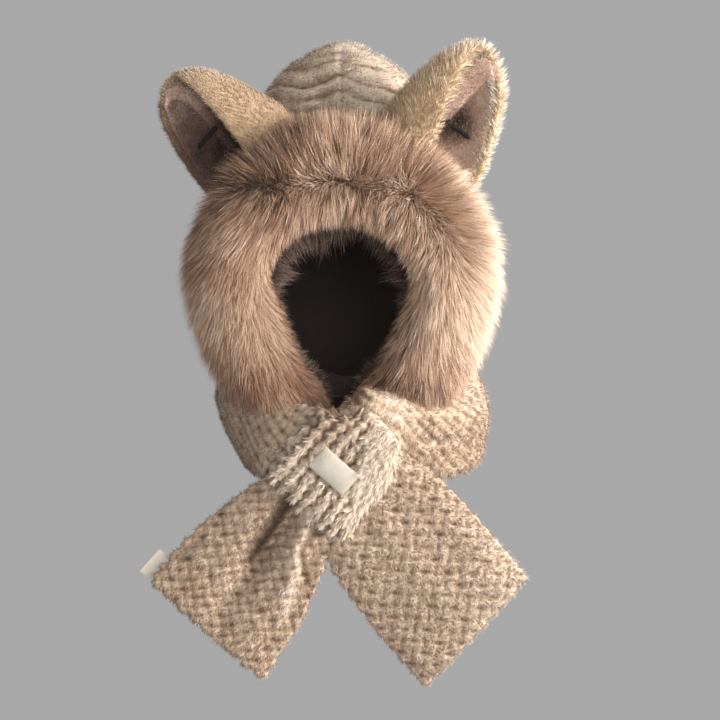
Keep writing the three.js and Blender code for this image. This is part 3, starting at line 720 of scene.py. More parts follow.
@dataclass(frozen=True)
class Viewpoint:
    """Where the photograph was taken from, in metres, degrees and pixels."""

    target: Place = (0.019, -0.110, -0.200)
    distance: float = 2.0
    elevation: float = 7.0
    lens: float = 100.0
    sensor: float = 36.0
    pixels: int = 720

    def axes(self) -> tuple[Vector, Vector, Vector]:
        """The camera's axes: to its right, above it and ahead."""
        tilt = math.radians(self.elevation)
        right, ahead = Vector((1, 0, 0)), Vector((0, math.cos(tilt), -math.sin(tilt)))
        return right, right.cross(ahead), ahead

    def place(self) -> Vector:
        """Where the camera stands."""
        return Vector(self.target) - self.axes()[2] * self.distance

    def ray(self, pixel: Pixel) -> Vector:
        """The way that a pixel of the photograph looks."""
        right, above, ahead = self.axes()
        reach = self.sensor / self.lens / self.pixels
        across = (pixel[0] - self.pixels / 2) * reach
        rise = (self.pixels / 2 - pixel[1]) * reach
        return (ahead + right * across + above * rise).normalized()

    def pixels_of(self, places: Array) -> Array:
        """The pixels of the photograph that show places."""
        right, above, ahead = (np.array(axis) for axis in self.axes())
        offset = places - np.array(self.place())
        reach = (offset @ ahead) * self.sensor / self.lens / self.pixels
        return np.stack([offset @ right / reach, -(offset @ above) / reach], axis=1) + self.pixels / 2

    def make_camera(self) -> None:
        """Puts the camera in the scene."""
        data = bpy.data.cameras.new("camera")
        data.lens = self.lens
        data.sensor_width = self.sensor
        camera = bpy.data.objects.new("camera", data)
        camera.location = self.place()
        camera.rotation_euler = (math.radians(90 - self.elevation), 0, 0)
        bpy.context.scene.collection.objects.link(camera)
        bpy.context.scene.camera = camera


@dataclass
class Studio:
    """Pale floor and wall, with soft light that comes mostly from the right. Its sizes are in metres."""

    floor: float = -0.66
    wall: float = 3.4
    width: float = 60.0
    depth: float = 34.0
    height: float = 14.0
    bend: float = 1.2
    aim: Place = (0, -0.05, -0.2)
    air: tuple[float, ...] = (0.80, 0.82, 0.85, 1)
    air_strength: float = 0.22

    # Each light's name, place, side, power in watts and colour
    LIGHTS = (
        ("side_light", (2.0, -0.85, 0.2), 1.1, 134, (1.0, 0.98, 0.95)),
        ("front_light", (0.4, -2.8, 0.35), 1.8, 40, (1.0, 0.99, 0.98)),
        ("top_light", (0.5, 0.1, 2.1), 1.2, 7, (1.0, 1.0, 1.0)),
    )

    def make_cove(self) -> None:
        """Builds the floor and the wall as one bent sheet."""
        mesh = bpy.data.meshes.new("cove")
        near = 0.01
        with edited(mesh) as shape:
            bmesh.ops.create_grid(shape, x_segments=1, y_segments=1, size=0.5)
            bmesh.ops.scale(shape, vec=(self.width, self.depth, 1), verts=shape.verts)
            bmesh.ops.translate(shape, vec=(0, self.wall - self.depth / 2, self.floor), verts=shape.verts)
            back = [e for e in shape.edges if all(v.co.y > self.wall - near for v in e.verts)]
            risen = bmesh.ops.extrude_edge_only(shape, edges=back)
            tops = [item for item in risen["geom"] if isinstance(item, bmesh.types.BMVert)]
            bmesh.ops.translate(shape, vec=(0, 0, self.height), verts=tops)
            low = [v for v in shape.verts if abs(v.co.z - self.floor) < near]
            corner = [e for e in back if e.is_valid and all(v in low for v in e.verts)]
            bmesh.ops.bevel(
                shape, geom=corner, offset=self.bend, offset_type="OFFSET", segments=16, profile=0.5,
                affect="EDGES", material=-1,
            )
        mesh.shade_smooth()
        mesh.materials.append(StageFinish("grey_paper", (168, 168, 168)).material())
        cove = bpy.data.objects.new("cove", mesh)
        bpy.context.scene.collection.objects.link(cove)

    def make_lights(self) -> None:
        """Lights the object with soft square lights that look at the hood, and its surroundings."""
        for name, place, side, power, colour in self.LIGHTS:
            data = bpy.data.lights.new(name, "AREA")
            data.shape = "SQUARE"
            data.size = side
            data.energy = power
            data.color = colour
            light = bpy.data.objects.new(name, data)
            light.location = place
            light.rotation_euler = (Vector(self.aim) - Vector(place)).to_track_quat("-Z", "Y").to_euler()
            bpy.context.scene.collection.objects.link(light)
        world = bpy.data.worlds.new("studio_air")
        world.use_nodes = True
        air = world.node_tree.nodes["Background"]
        air.inputs["Color"].default_value = self.air
        air.inputs["Strength"].default_value = self.air_strength
        bpy.context.scene.world = world
        bpy.context.scene.view_settings.view_transform = "Standard"


@dataclass(frozen=True)
class Weave:
    """Pattern of plush knit: plump cells with deep slanted crevices, and shallower ones across between.

    Its cells are across wide and along long, and stray from their rows by up to wander. A crevice is stroke
    long and gap wide.
    """

    across: float
    along: float
    wander: float
    slant: int = -1
    stroke: float = 5.8
    gap: float = 1.8
    pit: float = 0.22
    roughness: float = 1.0

    def crevice(self, aside: Array, ahead: Array, slant: int, narrow: float) -> Array:
        """Gives how deep a slanted crevice is, from how far aside and ahead of its middle a point lies."""
        down, over = (aside + slant * ahead) * 0.707, (aside - slant * ahead) * 0.707
        return hump(down, self.stroke) * hump(over, self.gap * narrow)

    def level(self, spots: Spots, across: Array, along: Array) -> Array:
        """Gives the height of the knit, 0 in a pit and 1 on a crest.

        Args:
            spots: The points, for what varies.
            across: How far across the strip each lies.
            along: How far along it.

        Returns:
            One height for each point.
        """
        across = across + self.wander * spots.noise(20, 11)
        along = along + self.wander * spots.noise(20, 12)
        total = np.full(len(across), 0.92)
        for shift, depth, slant, narrow in ((0.0, 0.75, self.slant, 1.0), (0.5, 0.42, -self.slant, 0.8)):
            column, row = across / self.across + shift, along / self.along + shift
            aside, ahead = (column - np.round(column)) * self.across, (row - np.round(row)) * self.along
            pit = self.pit * hump(np.hypot(aside, ahead), 0.26 * self.across)
            total -= depth * (0.75 * self.crevice(aside, ahead, slant, narrow) + pit)
        grain = 0.10 * spots.noise(4.5, 13) + 0.14 * spots.noise(10, 14)
        return np.clip(total + self.roughness * grain, 0, 1)


@dataclass(frozen=True)
class CrownWeave(Weave):
    """The hood's knit: crossed below, and in soft ridges across the crown."""

    low: float = -10
    high: float = 15

    def level(self, spots: Spots, across: Array, along: Array) -> Array:
        """Goes from the crossed knit to the ridges with height."""
        front = smoothstep(35, -10, spots.y)
        share = smoothstep(self.low, self.high + (1 - front) * 60, spots.z)
        crossed = super().level(spots, across, along)
        shift = 8 * spots.noise(36, 15) + 3 * spots.noise(13, 21)
        slope = 0.24 * np.maximum(spots.x, 0) + 0.12 * np.maximum(-spots.x, 0)
        ridge = np.abs(np.sin(math.pi * (along + shift + slope) / self.along)) ** 0.8
        strong = 0.6 + front * (0.5 - 0.3 * smoothstep(-5, 40, spots.x))
        uneven = 0.8 + 0.5 * spots.noise(24, 22)
        grain = 0.14 * spots.noise(3.5, 16, (1, 1, 0.5)) + 0.12 * spots.noise(10, 17)
        soft = 0.88 - strong * uneven * (1 - ridge)
        return crossed * (1 - share) + np.clip(soft + grain, 0, 1) * share


@dataclass(frozen=True)
class LoopWeave(Weave):
    """The loop's knit: rows of tufts that run the way of the strip in it, and a smooth band at one side."""

    def band(self, across: Array, along: Array) -> Array:
        """Tells the smooth band, 1, from the rows, 0. It narrows down the loop."""
        return smoothstep(-3, 3, across - 22 - 0.55 * along)

    def level(self, spots: Spots, across: Array, along: Array) -> Array:
        """Gives the rows, and the smooth band beyond them."""
        drawn = (across + self.wander * spots.noise(16, 18)) / self.across
        rows = 0.5 + 0.4 * np.cos(2 * math.pi * drawn)
        turn = 2 * math.pi * (along / self.along + 0.5 * np.round(drawn))
        tufts = np.cos(turn + 1.5 * spots.noise(12, 19))
        grain = 0.16 * spots.noise(4.5, 13)
        smooth = self.band(across, along)
        strands = Spots(spots.places - dots(spots.places, THREAD) * THREAD * 0.85, spots.facing)
        strand = 0.72 + 0.3 * strands.noise(4.5, 20)
        return np.clip((rows + 0.3 * tufts + grain) * (1 - smooth) + strand * smooth, 0, 1)


@dataclass
class KnitPiece:
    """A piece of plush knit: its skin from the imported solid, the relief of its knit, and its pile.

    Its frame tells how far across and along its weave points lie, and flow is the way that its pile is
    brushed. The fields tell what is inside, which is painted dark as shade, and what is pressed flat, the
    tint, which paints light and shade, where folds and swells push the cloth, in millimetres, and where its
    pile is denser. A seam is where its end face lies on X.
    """

    name: str
    node: str
    weave: Weave
    skin: float
    hairs: int
    frame: Frame
    flow: Array
    seed: int
    depth: float = 3.2
    rounds: int = 10
    pile: Pile = PLUSH
    inside: Field = nowhere
    pressed: Field = nowhere
    tint: Field = nowhere
    fold: Field = unmoved
    swell: Field = nowhere
    denser: Field = everywhere
    seam: float = 0.0
    seam_from: float = -1000.0

    SEAM_REACH = 4.6
    PRESSED_IN = 1.5

    def build(self, mesh: Mesh, kit: Kit) -> tuple[Piece, Piece]:
        """Makes the piece and its pile.

        Args:
            mesh: The closed mesh that it takes its form from.
            kit: What it is built with.

        Returns:
            The cloth and its pile.
        """
        made = reskinned(mesh, self.skin, self.rounds)
        surface = Surface.of(made)
        level, inner, flat = self.level(surface), self.inside(surface), self.pressed(surface)
        lift = ((level - 0.75) * self.depth + self.swell(surface)) * (1 - inner) * (1 - flat)
        lift -= self.PRESSED_IN * flat
        moved = surface.places + (surface.facing * lift[:, None] + self.fold(surface)) * MM
        if self.seam:
            joined = (np.abs(surface.x) < self.SEAM_REACH) & (surface.y > self.seam_from)
            moved[:, 0] = np.where(joined, self.seam * MM, moved[:, 0])
        set_places(made, moved)
        if self.seam:
            mark_seam(made, self.seam)
        # Relief paints the pits dark as shade, and the tint adds painted light and shade.
        set_number(made, "relief", np.clip(level + self.toned(surface, level), 0, 1))
        set_number(made, "inner", inner)
        cloth = kit.add(self.name, made, "knit_cloth")
        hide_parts(self.node)
        roots = Surface.of(made).scatter(self.hairs, np.random.default_rng(SEED + self.seed), self.density)
        crest = self.level(roots)
        tint = self.toned(roots, crest)
        # Hairs on the crests are painted paler as lit, and the tint adds painted light and shade.
        shade = np.clip(0.1 + 0.5 * crest + 0.8 * tint, 0, 1)
        length = (0.55 + 0.5 * crest) * (1 + 0.5 * np.clip(tint, 0, 1))
        hairs = Hairs(self.name + "_pile", self.pile, SEED + self.seed)
        tufts = kit.add(hairs.name, hairs.grow(roots, self.flow, length, shade), "knit_hairs")
        LOG.info("%s: %d faces, %d hairs", self.name, len(made.polygons), self.hairs)
        return cloth, tufts

    def level(self, spots: Spots) -> Array:
        """Gives the height of the knit."""
        return self.weave.level(spots, *self.frame(spots))

    def density(self, spots: Spots) -> Array:
        """Leaves the pits and the inside bare."""
        bare = np.maximum(self.inside(spots), self.pressed(spots))
        return (0.15 + self.level(spots) ** 2) * (1 - bare) * self.denser(spots)

    def toned(self, spots: Spots, level: Array) -> Array:
        """Gives the tint of painted light and shade, which leaves the pits dark where it brightens the crests.
        """
        tint = self.tint(spots)
        return tint * np.where(tint > 0, smoothstep(0.05, 0.75, level), 1.0)


# How far a thread's strand turns from point to point, in radians, and how many of its radii it lies aside
TWIST = 0.9
ASIDE = 0.6


def strand_of(name: str, points: list[Vector], radius: float, phase: float) -> Mesh:
    """Makes one strand of a twisted thread.

    Args:
        name: The mesh's name.
        points: Points of the thread's middle.
        radius: The strand's radius.
        phase: Where round the middle the strand starts.

    Returns:
        The mesh.
    """
    line = bpy.data.curves.new(name, "CURVE")
    line.dimensions = "3D"
    line.bevel_depth = 1.0
    line.bevel_resolution = 3
    line.use_fill_caps = True
    spline = line.splines.new("POLY")
    spline.points.add(len(points) - 1)
    for number, (point, place) in enumerate(zip(spline.points, points)):
        turn = phase + number * TWIST
        point.co = (*(place + Vector((math.cos(turn), 0, math.sin(turn))) * (radius * MM) * ASIDE), 1)
        point.radius = radius * MM
    holder = bpy.data.objects.new("holder", line)
    mesh = bpy.data.meshes.new_from_object(holder)
    bpy.data.objects.remove(holder)
    mesh.name = name
    mesh.shade_smooth()
    return mesh


@dataclass
class Hood:
    """The plush hood: two panels joined in a seam over the crown, ribbed above and waffled below."""

    middle: Place = (0, 8, -95)
    radius: float = 112
    hairs: int = 30000

    def frame(self, spots: Spots) -> tuple[Array, Array]:
        """How far round the hood a point lies, and how high."""
        return np.arctan2(spots.x, -spots.y) * self.radius, spots.z

    def inside(self, spots: Spots) -> Array:
        """Tells the hood's inside and the front of its hem, 1, both painted dark as shade, from its outside,
        0.
        """
        outward = np.sum(spots.facing * unit(spots.places / MM - self.middle), axis=1)
        joined = (np.abs(spots.x) < 6) & (spots.z < 20)
        hem = (spots.z < -200) & (spots.y < -40) & (np.abs(spots.x) < 52)
        edge = np.where(joined, 0.5, 0.05)
        return np.where(hem, 1.0, 1 - smoothstep(edge - 0.35, edge, outward))

    def build(self, kit: Kit) -> None:
        """Makes both panels and their seam."""
        for number, side in enumerate(("left", "right")):
            node = f"hood_panel_{side}"
            piece = KnitPiece(
                f"hood_knit_{side}", node, CrownWeave(16, 15.6, 2), 3.6, self.hairs, self.frame, -0.8 * UP,
                seed=10 + number, depth=3.4, rounds=4, inside=self.inside, tint=self.tint, swell=self.swell,
                denser=self.denser, seam=0.05 - 0.1 * number,
            )
            cloth, tufts = piece.build(kit.copy(node), kit)

    def tint(self, spots: Spots) -> Array:
        """Painted light over the crown, along the seam and most on its right; paler at the peak, with random
        fuzz.
        """
        fuzz = 0.12 * spots.noise(3, 26, (1, 1, 0.4))
        lit = 0.12 + 0.45 * smoothstep(-12, 30, spots.x)
        seam = 0.25 * hump(spots.x, 5)
        return smoothstep(0, 40, spots.z) * (0.5 * self.peak(spots) + seam + lit + fuzz)

    def denser(self, spots: Spots) -> Array:
        """The pile is thicker over the front of the crown, on its left."""
        left = smoothstep(30, -5, spots.x) * smoothstep(40, -10, spots.y)
        high = smoothstep(10, 40, spots.z)
        return (1 + 2.5 * left * high) * (1 - 0.7 * high * hump(spots.x, 6)) * (1 - 0.6 * self.peak(spots))

    def peak(self, spots: Spots) -> Array:
        """Tells the pale tufts at the front of the peak."""
        course = -6 + 0.35 * np.maximum(spots.z - 95, 0)
        return hump(spots.x - course, 7) * smoothstep(82, 94, spots.z) * smoothstep(20, 0, spots.y)

    def swell(self, spots: Spots) -> Array:
        """Fills the hood out below its peak, and along the seam, where the edges are rounded off."""
        full = smoothstep(10, 60, spots.z) * (1 - smoothstep(80, 122, spots.z))
        edge = hump(spots.x, 4.5) * (1 - 0.8 * smoothstep(95, 112, spots.z))
        return 8 * full + 3 * edge


@dataclass
class Scarf:
    """The scarf round the neck: two wraps, the loop, and the two tails that come out below it.

    The strip through the loop is two pieces: along THREAD from the loop's centre, the first ends at
    collar_end and the second starts at tail_start. The left tail's pattern starts at half_loop there, and
    the right tail's at tail_right_band along BAND and tail_right_thread along THREAD. The leans are degrees.
    """

    tail_left_lean: float = -37
    tail_right_lean: float = 40
    half_loop: float = 60
    tail_right_band: float = 36.4
    tail_right_thread: float = 14.4
    collar_end: float = 50
    tail_start: float = 44

    LOOP_WEAVE = LoopWeave(13, 12, 2.5)
    SOFT_WEAVE = Weave(15, 14, 2.8, stroke=8, gap=2.1, pit=0.08, roughness=1.3)
    CRISP_WEAVE = Weave(18, 16.5, 1.6, slant=1)
    HANGING = -0.7 * UP
    # The lumps that fill the wraps out to the hood: where each is, how far it reaches, and its turn
    RIGHT_TUCKS = (((72, -118, -288), (15, 9, 21), -35), ((104, -46, -240), (18, 18, 12), 0))
    LEFT_TUCKS = (((-105, -30, -241), (19, 44, 14), 0),)
    # The width of every sheet and the length of each, in metres, and how it is held
    SHEET_WIDTH = 0.153
    SHEETS = (
        ("scarf_wrap_right", 0.36, "gathered"),
        ("scarf_left_tail", 0.17, "hung"),
        ("scarf_wrap_left_knit", 0.26, "gathered"),
        ("scarf_right_tail", 0.183, "hung"),
    )

    def down(self, lean: float) -> Array:
        """The way down a tail that leans by so many degrees."""
        tilt = math.radians(lean)
        return np.array([math.sin(tilt), 0, -math.cos(tilt)])

    def tail_frame(self, start: Array, lean: float) -> Frame:
        """Makes the function that gives places across and along a tail."""
        down = self.down(lean)
        side = np.array([-down[2], 0, down[0]])

        def frame(spots: Spots) -> tuple[Array, Array]:
            """How far across and along the tail a point lies."""
            return (spots.places - start) @ side / MM, (spots.places - start) @ down / MM

        return frame

    def left_frame(self, spots: Spots) -> tuple[Array, Array]:
        """How far across and along the left tail a point lies."""
        return self.tail_frame(THROAT + THREAD * self.half_loop * MM, self.tail_left_lean)(spots)

    def loop_frame(self, spots: Spots) -> tuple[Array, Array]:
        """How far across and down the loop a point lies."""
        return along_band(spots.places, THROAT)

    def wrap_frame(self, mesh: Mesh) -> Frame:
        """Makes the function that gives places across and along a wrap, from its own shape.

        Args:
            mesh: The wrap's mesh.

        Returns:
            The function.
        """
        wrap = Surface.of(mesh)
        turn = np.arctan2(wrap.x, -wrap.y)
        bins = np.radians(np.arange(-180, 181, 12))
        middle, radius = np.full((2, len(bins)), np.nan)
        for number, angle in enumerate(bins):
            near = np.abs(turn - angle) < math.radians(14)
            if near.any():
                middle[number] = (wrap.z[near].min() + wrap.z[near].max()) / 2
                radius[number] = np.hypot(wrap.x[near], wrap.y[near]).mean()
        known = ~np.isnan(middle)
        centre, reach = (np.interp(bins, bins[known], row[known]) for row in (middle, radius))
        run = np.hypot(np.diff(centre), np.diff(bins) * (reach[1:] + reach[:-1]) / 2)
        arc = np.append(0, np.cumsum(run))

        def frame(spots: Spots) -> tuple[Array, Array]:
            """How far across and along the wrap a point lies."""
            angle = np.arctan2(spots.x, -spots.y)
            return spots.z - np.interp(angle, bins, centre), np.interp(angle, bins, arc)

        return frame

    def build(self, kit: Kit) -> None:
        """Makes the five pieces."""
        strip = "scarf_strip_right"
        collar, tail, wrap = kit.copy(strip), kit.copy(strip), kit.copy("scarf_wrap_left")
        cut_mesh(collar, THROAT + THREAD * self.collar_end * MM, THREAD)
        cut_mesh(tail, THROAT + THREAD * self.tail_start * MM, -THREAD)
        for mesh, tucks in ((collar, self.RIGHT_TUCKS), (wrap, self.LEFT_TUCKS)):
            for tuck in tucks:
                add_tuck(mesh, *tuck)
        start = THROAT + (BAND * self.tail_right_band + THREAD * self.tail_right_thread) * MM
        right_frame = self.tail_frame(start, self.tail_right_lean)
        pieces = (
            (collar, KnitPiece(
                "scarf_wrap_right", strip, self.SOFT_WEAVE, 2.2, 24000, self.wrap_frame(collar),
                self.HANGING, seed=20, fold=self.wrap_crease, inside=self.near_neck, tint=self.wrap_tint,
                swell=self.back_seam, seam=-0.05, seam_from=40,
            )),
            (tail, KnitPiece(
                "scarf_left_tail", strip, self.SOFT_WEAVE, 1.8, 26000, self.left_frame, self.HANGING,
                seed=21, depth=4.6, rounds=6, fold=self.tail_fold, tint=self.tail_tint,
            )),
            (wrap, KnitPiece(
                "scarf_wrap_left_knit", "scarf_wrap_left", self.SOFT_WEAVE, 2.3, 17000,
                self.wrap_frame(wrap), self.HANGING, seed=22, inside=self.near_neck, tint=self.shaded,
                swell=self.back_seam, seam=0.05, seam_from=40,
            )),
            (kit.copy("keeper_loop"), KnitPiece(
                "keeper_loop_knit", "keeper_loop", self.LOOP_WEAVE, 1.9, 26000, self.loop_frame, THREAD,
                seed=23, pile=CURLED, depth=4, pressed=self.under_label, tint=self.loop_tint,
                fold=self.chin_fold,
            )),
            (kit.copy("scarf_tail_right"), KnitPiece(
                "scarf_right_tail", "scarf_tail_right", self.CRISP_WEAVE, 1.55, 30000, right_frame,
                self.down(self.tail_right_lean) * 0.9, seed=24, depth=4.6, rounds=5, tint=self.lit_side,
            )),
        )
        made = {piece.name: piece.build(mesh, kit) for mesh, piece in pieces}
        for name, length, held in self.SHEETS:
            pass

    def under_label(self, spots: Spots) -> Array:
        """Where the label presses the loop's pile flat."""
        low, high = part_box("label_patch")
        middle = np.array((low + high) / 2) + np.array(Labels.shift) * MM
        across, along = along_band(spots.places, middle)
        under = (np.abs(across) < 24) & (np.abs(along) < 14)
        return np.where(under & (spots.facing @ FRONT > 0.1), 1.0, 0.0)

    def shaded(self, spots: Spots) -> Array:
        """Painted shade: darker on the left, under the trim."""
        return self.chin_shade(spots) - 0.2

    def wrap_tint(self, spots: Spots) -> Array:
        """Less bright where the light falls straight on the right wrap."""
        low = smoothstep(-245, -275, spots.z)
        return self.chin_shade(spots) - (0.25 + 0.2 * low) * smoothstep(50, 90, spots.x)

    def chin_shade(self, spots: Spots) -> Array:
        """Darker under the chin, between the lobes of the trim."""
        return -hump(spots.x, 26) * smoothstep(-256, -236, spots.z) * smoothstep(0, -40, spots.y)

    def loop_tint(self, spots: Spots) -> Array:
        """Nearly white along the smooth band of the loop, darker at its upper left, painted shade under the
        chin.
        """
        across, along = self.loop_frame(spots)
        band = self.LOOP_WEAVE.band(across, along) * (1 - smoothstep(52, 60, along))
        dark = smoothstep(-8, -35, across) * smoothstep(10, -20, along)
        low = smoothstep(-10, 30, along) * (1 - band)
        return 0.3 + 0.6 * band - 0.36 * dark + 0.38 * low + self.chin_shade(spots)

    def tail_gathers(self, spots: Spots) -> tuple[Array, Array, Array]:
        """How much of the two gathers below the loop, and of the crest between them, each point has."""
        side, down = self.left_frame(spots)
        aside = side + 12 - 0.06 * down
        first = hump(aside, np.where(aside > 0, 4, 9)) * (1 - smoothstep(50, 105, down))
        course = 24 + 0.05 * down + 0.03 * np.maximum(down - 30, 0) ** 2
        second = hump(side - course, 4.5) * (1 - smoothstep(35, 80, down))
        crest = hump(side - 10 - 0.4 * down, 8.5) * (1 - smoothstep(80, 140, down))
        return first, second, crest

    def tail_fold(self, spots: Spots) -> Array:
        """Where the gathers push the left tail."""
        first, second, crest = self.tail_gathers(spots)
        return FRONT * (-13 * first - 6.5 * second + 5 * crest)[:, None]

    def tail_tint(self, spots: Spots) -> Array:
        """Painted shade in the gathers, painted light on the crest between them."""
        first, second, crest = self.tail_gathers(spots)
        return -0.2 - 0.8 * first - 0.35 * second + 0.44 * crest

    def lit_side(self, spots: Spots) -> Array:
        """Paler towards the right tail's right corner."""
        return 0.22 * smoothstep(110, 165, spots.x) - 0.13

    def near_neck(self, spots: Spots) -> Array:
        """Tells the side of the wraps that lies on the neck, 1, painted dark as shade, from the outside, 0."""
        outward = np.sum(spots.facing * unit(spots.places * (1, 1, 0)), axis=1)
        return (1 - smoothstep(-0.5, -0.1, outward)) * smoothstep(-70, -50, spots.y)

    def chin_fold(self, spots: Spots) -> Array:
        """Draws the loop down between the lobes of the trim."""
        near = np.exp(-(((spots.x - 2) / 19) ** 4))
        return -UP * (0.75 * near * np.maximum(spots.z + 258, 0))[:, None]

    def back_seam(self, spots: Spots) -> Array:
        """Fills the wraps out along the seam behind, where their edges are rounded off."""
        return 2.5 * hump(spots.x, 5) * (spots.y > 40)

    def wrap_crease(self, spots: Spots) -> Array:
        """Where the crease pushes the right wrap."""
        reach = smoothstep(72, 90, spots.x) * (1 - smoothstep(122, 138, spots.x))
        return -7 * FRONT * (hump(spots.z + 283, 4.5) * reach * (spots.y < -20))[:, None]


class Core(IntEnum):
    """Columns of the table of the trim's core."""

    WIDE = 1
    DEEP = 2
    BACK = 3


class Brush(IntEnum):
    """Columns of the tables of how the trim's pile is brushed."""

    PARTING = 1
    BREADTH = 2
    OUT = 3
    IN = 4
    SIDEWAYS = 5
    DOWN = 6
    CHINWARDS = 7


@dataclass
class FurTrim:
    """The deep fur trim round the face: a padded core swept along a spine, and its long pile."""

    half_width: float = 108
    core_radius: float = 35
    core_depth: float = 31
    face_edge: float = 54
    forward: float = 34
    top: float = -20.2
    middle: float = -118
    chin: float = -249.4
    chin_gap: float = 44
    side_bulge: float = 0.8
    lower_bulge: float = 1.27
    hairs: int = 90000
    fringe_hairs: int = 8000

    # Along the spine from its top to an end: how wide and deep the core is, and how far back it lies
    SIZES = (
        (0, 1, 1, 0),
        (0.3, 1, 1, 0),
        (0.6, 0.98, 1, 0),
        (0.8, 0.92, 0.95, 0.06),
        (0.92, 0.8, 0.78, 0.22),
        (0.985, 0.64, 0.6, 0.36),
        (1, 0.3, 0.28, 0.38),
    )
    # Along the spine on each side: where the pile parts, in degrees, how broad the parting is, and how much
    # the pile is brushed out of it, in of it, sideways, down and towards the chin
    LEFT = (
        (0, 92, 14, 1, 1, 0, 0, 0),
        (0.1, 88, 14, 1, 0.9, 0.35, 0.1, 0),
        (0.2, 70, 16, 1, 0.55, 0.8, 0.45, 0),
        (0.28, 46, 18, 1, 0.35, 0.9, 0.7, 0),
        (0.36, 10, 22, 1, 0.3, 0.8, 0.9, 0),
        (0.45, -30, 30, 1, 0.3, 0.6, 1, 0),
        (0.6, -60, 40, 0.8, 0.35, 0.4, 1, 0.1),
        (0.75, -60, 40, 0.6, 0.3, 0.15, 1, 0.3),
        (0.88, -60, 40, 0.4, 0.2, 0, 0.9, 0.6),
        (1, -60, 40, 0.2, 0.15, 0, 0.6, 0.9),
    )
    RIGHT = (
        (0, 92, 14, 1, 1, 0, 0, 0),
        (0.1, 89, 15, 1, 1, 0.05, 0.05, 0),
        (0.2, 80, 18, 1, 0.9, 0.15, 0.15, 0),
        (0.3, 68, 24, 0.95, 0.6, 0.3, 0.35, 0),
        (0.42, 84, 34, 0.8, 0.45, 0.2, 0.65, 0),
        (0.55, 104, 40, 0.65, 0.45, 0, 0.9, 0.08),
        (0.7, 110, 42, 0.55, 0.45, 0, 1, 0.25),
        (0.88, 112, 42, 0.3, 0.3, 0, 0.9, 0.6),
        (1, 112, 42, 0.15, 0.15, 0, 0.6, 0.9),
    )

    def read(self, table: tuple, share: Array, column: int) -> Array:
        """Reads one column of a table between its rows."""
        return np.interp(np.abs(share), [row[0] for row in table], [row[column] for row in table])

    def brushed(self, share: Array, column: Brush) -> Array:
        """Reads how the pile is brushed on each side."""
        return np.where(share < 0, self.read(self.LEFT, share, column), self.read(self.RIGHT, share, column))

    def spine(self, share: Array) -> Array:
        """Gives points of the spine.

        Args:
            share: From -1 at the left end over 0 at the top to 1 at the right end.

        Returns:
            The points, in metres.
        """
        end = math.asin((self.chin_gap / 2 / self.half_width) ** (1 / self.side_bulge))
        angle = share * (math.pi - end)
        sine, cosine = np.sin(angle), np.cos(angle)
        power = np.where(cosine < 0, self.side_bulge, 1.0)
        across = np.sign(sine) * np.abs(sine) ** power * self.half_width
        lower = (self.middle - self.chin) * np.abs(cosine) ** self.lower_bulge
        rise = np.where(cosine < 0, -lower, (self.top - self.middle) * cosine)
        ahead = self.face_edge + self.forward * (1 - self.read(self.SIZES, share, Core.BACK))
        return np.stack([across, -ahead, self.middle + rise], axis=1) * MM

    def directions(self, share: Array) -> tuple[Array, Array]:
        """The way along the spine, and the way from it that leads off the face."""
        step = 0.01
        along = unit(self.spine(np.minimum(share + step, 1)) - self.spine(np.maximum(share - step, -1)))
        return along, unit(np.cross(FRONT, along))

    def core(self) -> Mesh:
        """Sweeps the core's oval along the spine, and closes its ends."""
        mesh = bpy.data.meshes.new("fur_core")
        with edited(mesh) as shape:
            bmesh.ops.create_grid(shape, x_segments=90, y_segments=28, size=1)
            shape.verts.ensure_lookup_table()
            flat = np.array([vert.co for vert in shape.verts])
            share, angle = flat[:, 0], flat[:, 1] * math.pi
            _, away = self.directions(share)
            wide = self.core_radius * MM * self.read(self.SIZES, share, Core.WIDE) * np.cos(angle)
            deep = self.core_depth * MM * self.read(self.SIZES, share, Core.DEEP) * np.sin(angle)
            places = self.spine(share) + away * wide[:, None] + FRONT * deep[:, None]
            for vert, place in zip(shape.verts, places):
                vert.co = place
            bmesh.ops.remove_doubles(shape, verts=shape.verts, dist=0.05 * MM)
            bmesh.ops.holes_fill(shape, edges=[edge for edge in shape.edges if edge.is_boundary])
            bmesh.ops.recalc_face_normals(shape, faces=shape.faces)
        mesh.shade_smooth()
        return mesh

    def section(self, spots: Spots) -> tuple[Array, Array, Array]:
        """Gives each point's share of the spine, its angle in the section and the way along the spine."""
        steps = np.linspace(-1, 1, 241)
        gaps = ((spots.places[:, None, :] - self.spine(steps)[None, :, :]) ** 2).sum(axis=2)
        share = steps[gaps.argmin(axis=1)]
        along, away = self.directions(share)
        offset = spots.places - self.spine(share)
        angle = np.degrees(np.arctan2(offset @ FRONT, np.sum(offset * away, axis=1)))
        return share, np.where(angle < -90, angle + 360, angle), along

    def seen(self, spots: Spots) -> Array:
        """Leaves the back of the trim bare, where the hood covers it."""
        share, angle, _ = self.section(spots)
        parted = hump(angle - self.brushed(share, Brush.PARTING), 16)
        return smoothstep(-62, -40, angle) * (1 - smoothstep(225, 245, angle)) * (1 + 0.9 * parted)

    def inner_side(self, spots: Spots) -> Array:
        """The side of the trim that faces the opening."""
        _, angle, _ = self.section(spots)
        return smoothstep(160, 175, angle) * (1 - smoothstep(200, 215, angle))

    def build(self, kit: Kit) -> None:
        """Makes the core, its pile in three pieces and its fringe."""
        core = kit.add("fur_trim_core", self.core(), "fur_backing")
        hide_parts("fur_trim")
        surface = Surface.of(core.data)
        self.grow_pile(surface, kit)
        self.grow_fringe(surface, kit)
        LOG.info("fur trim: %d hairs", self.hairs)

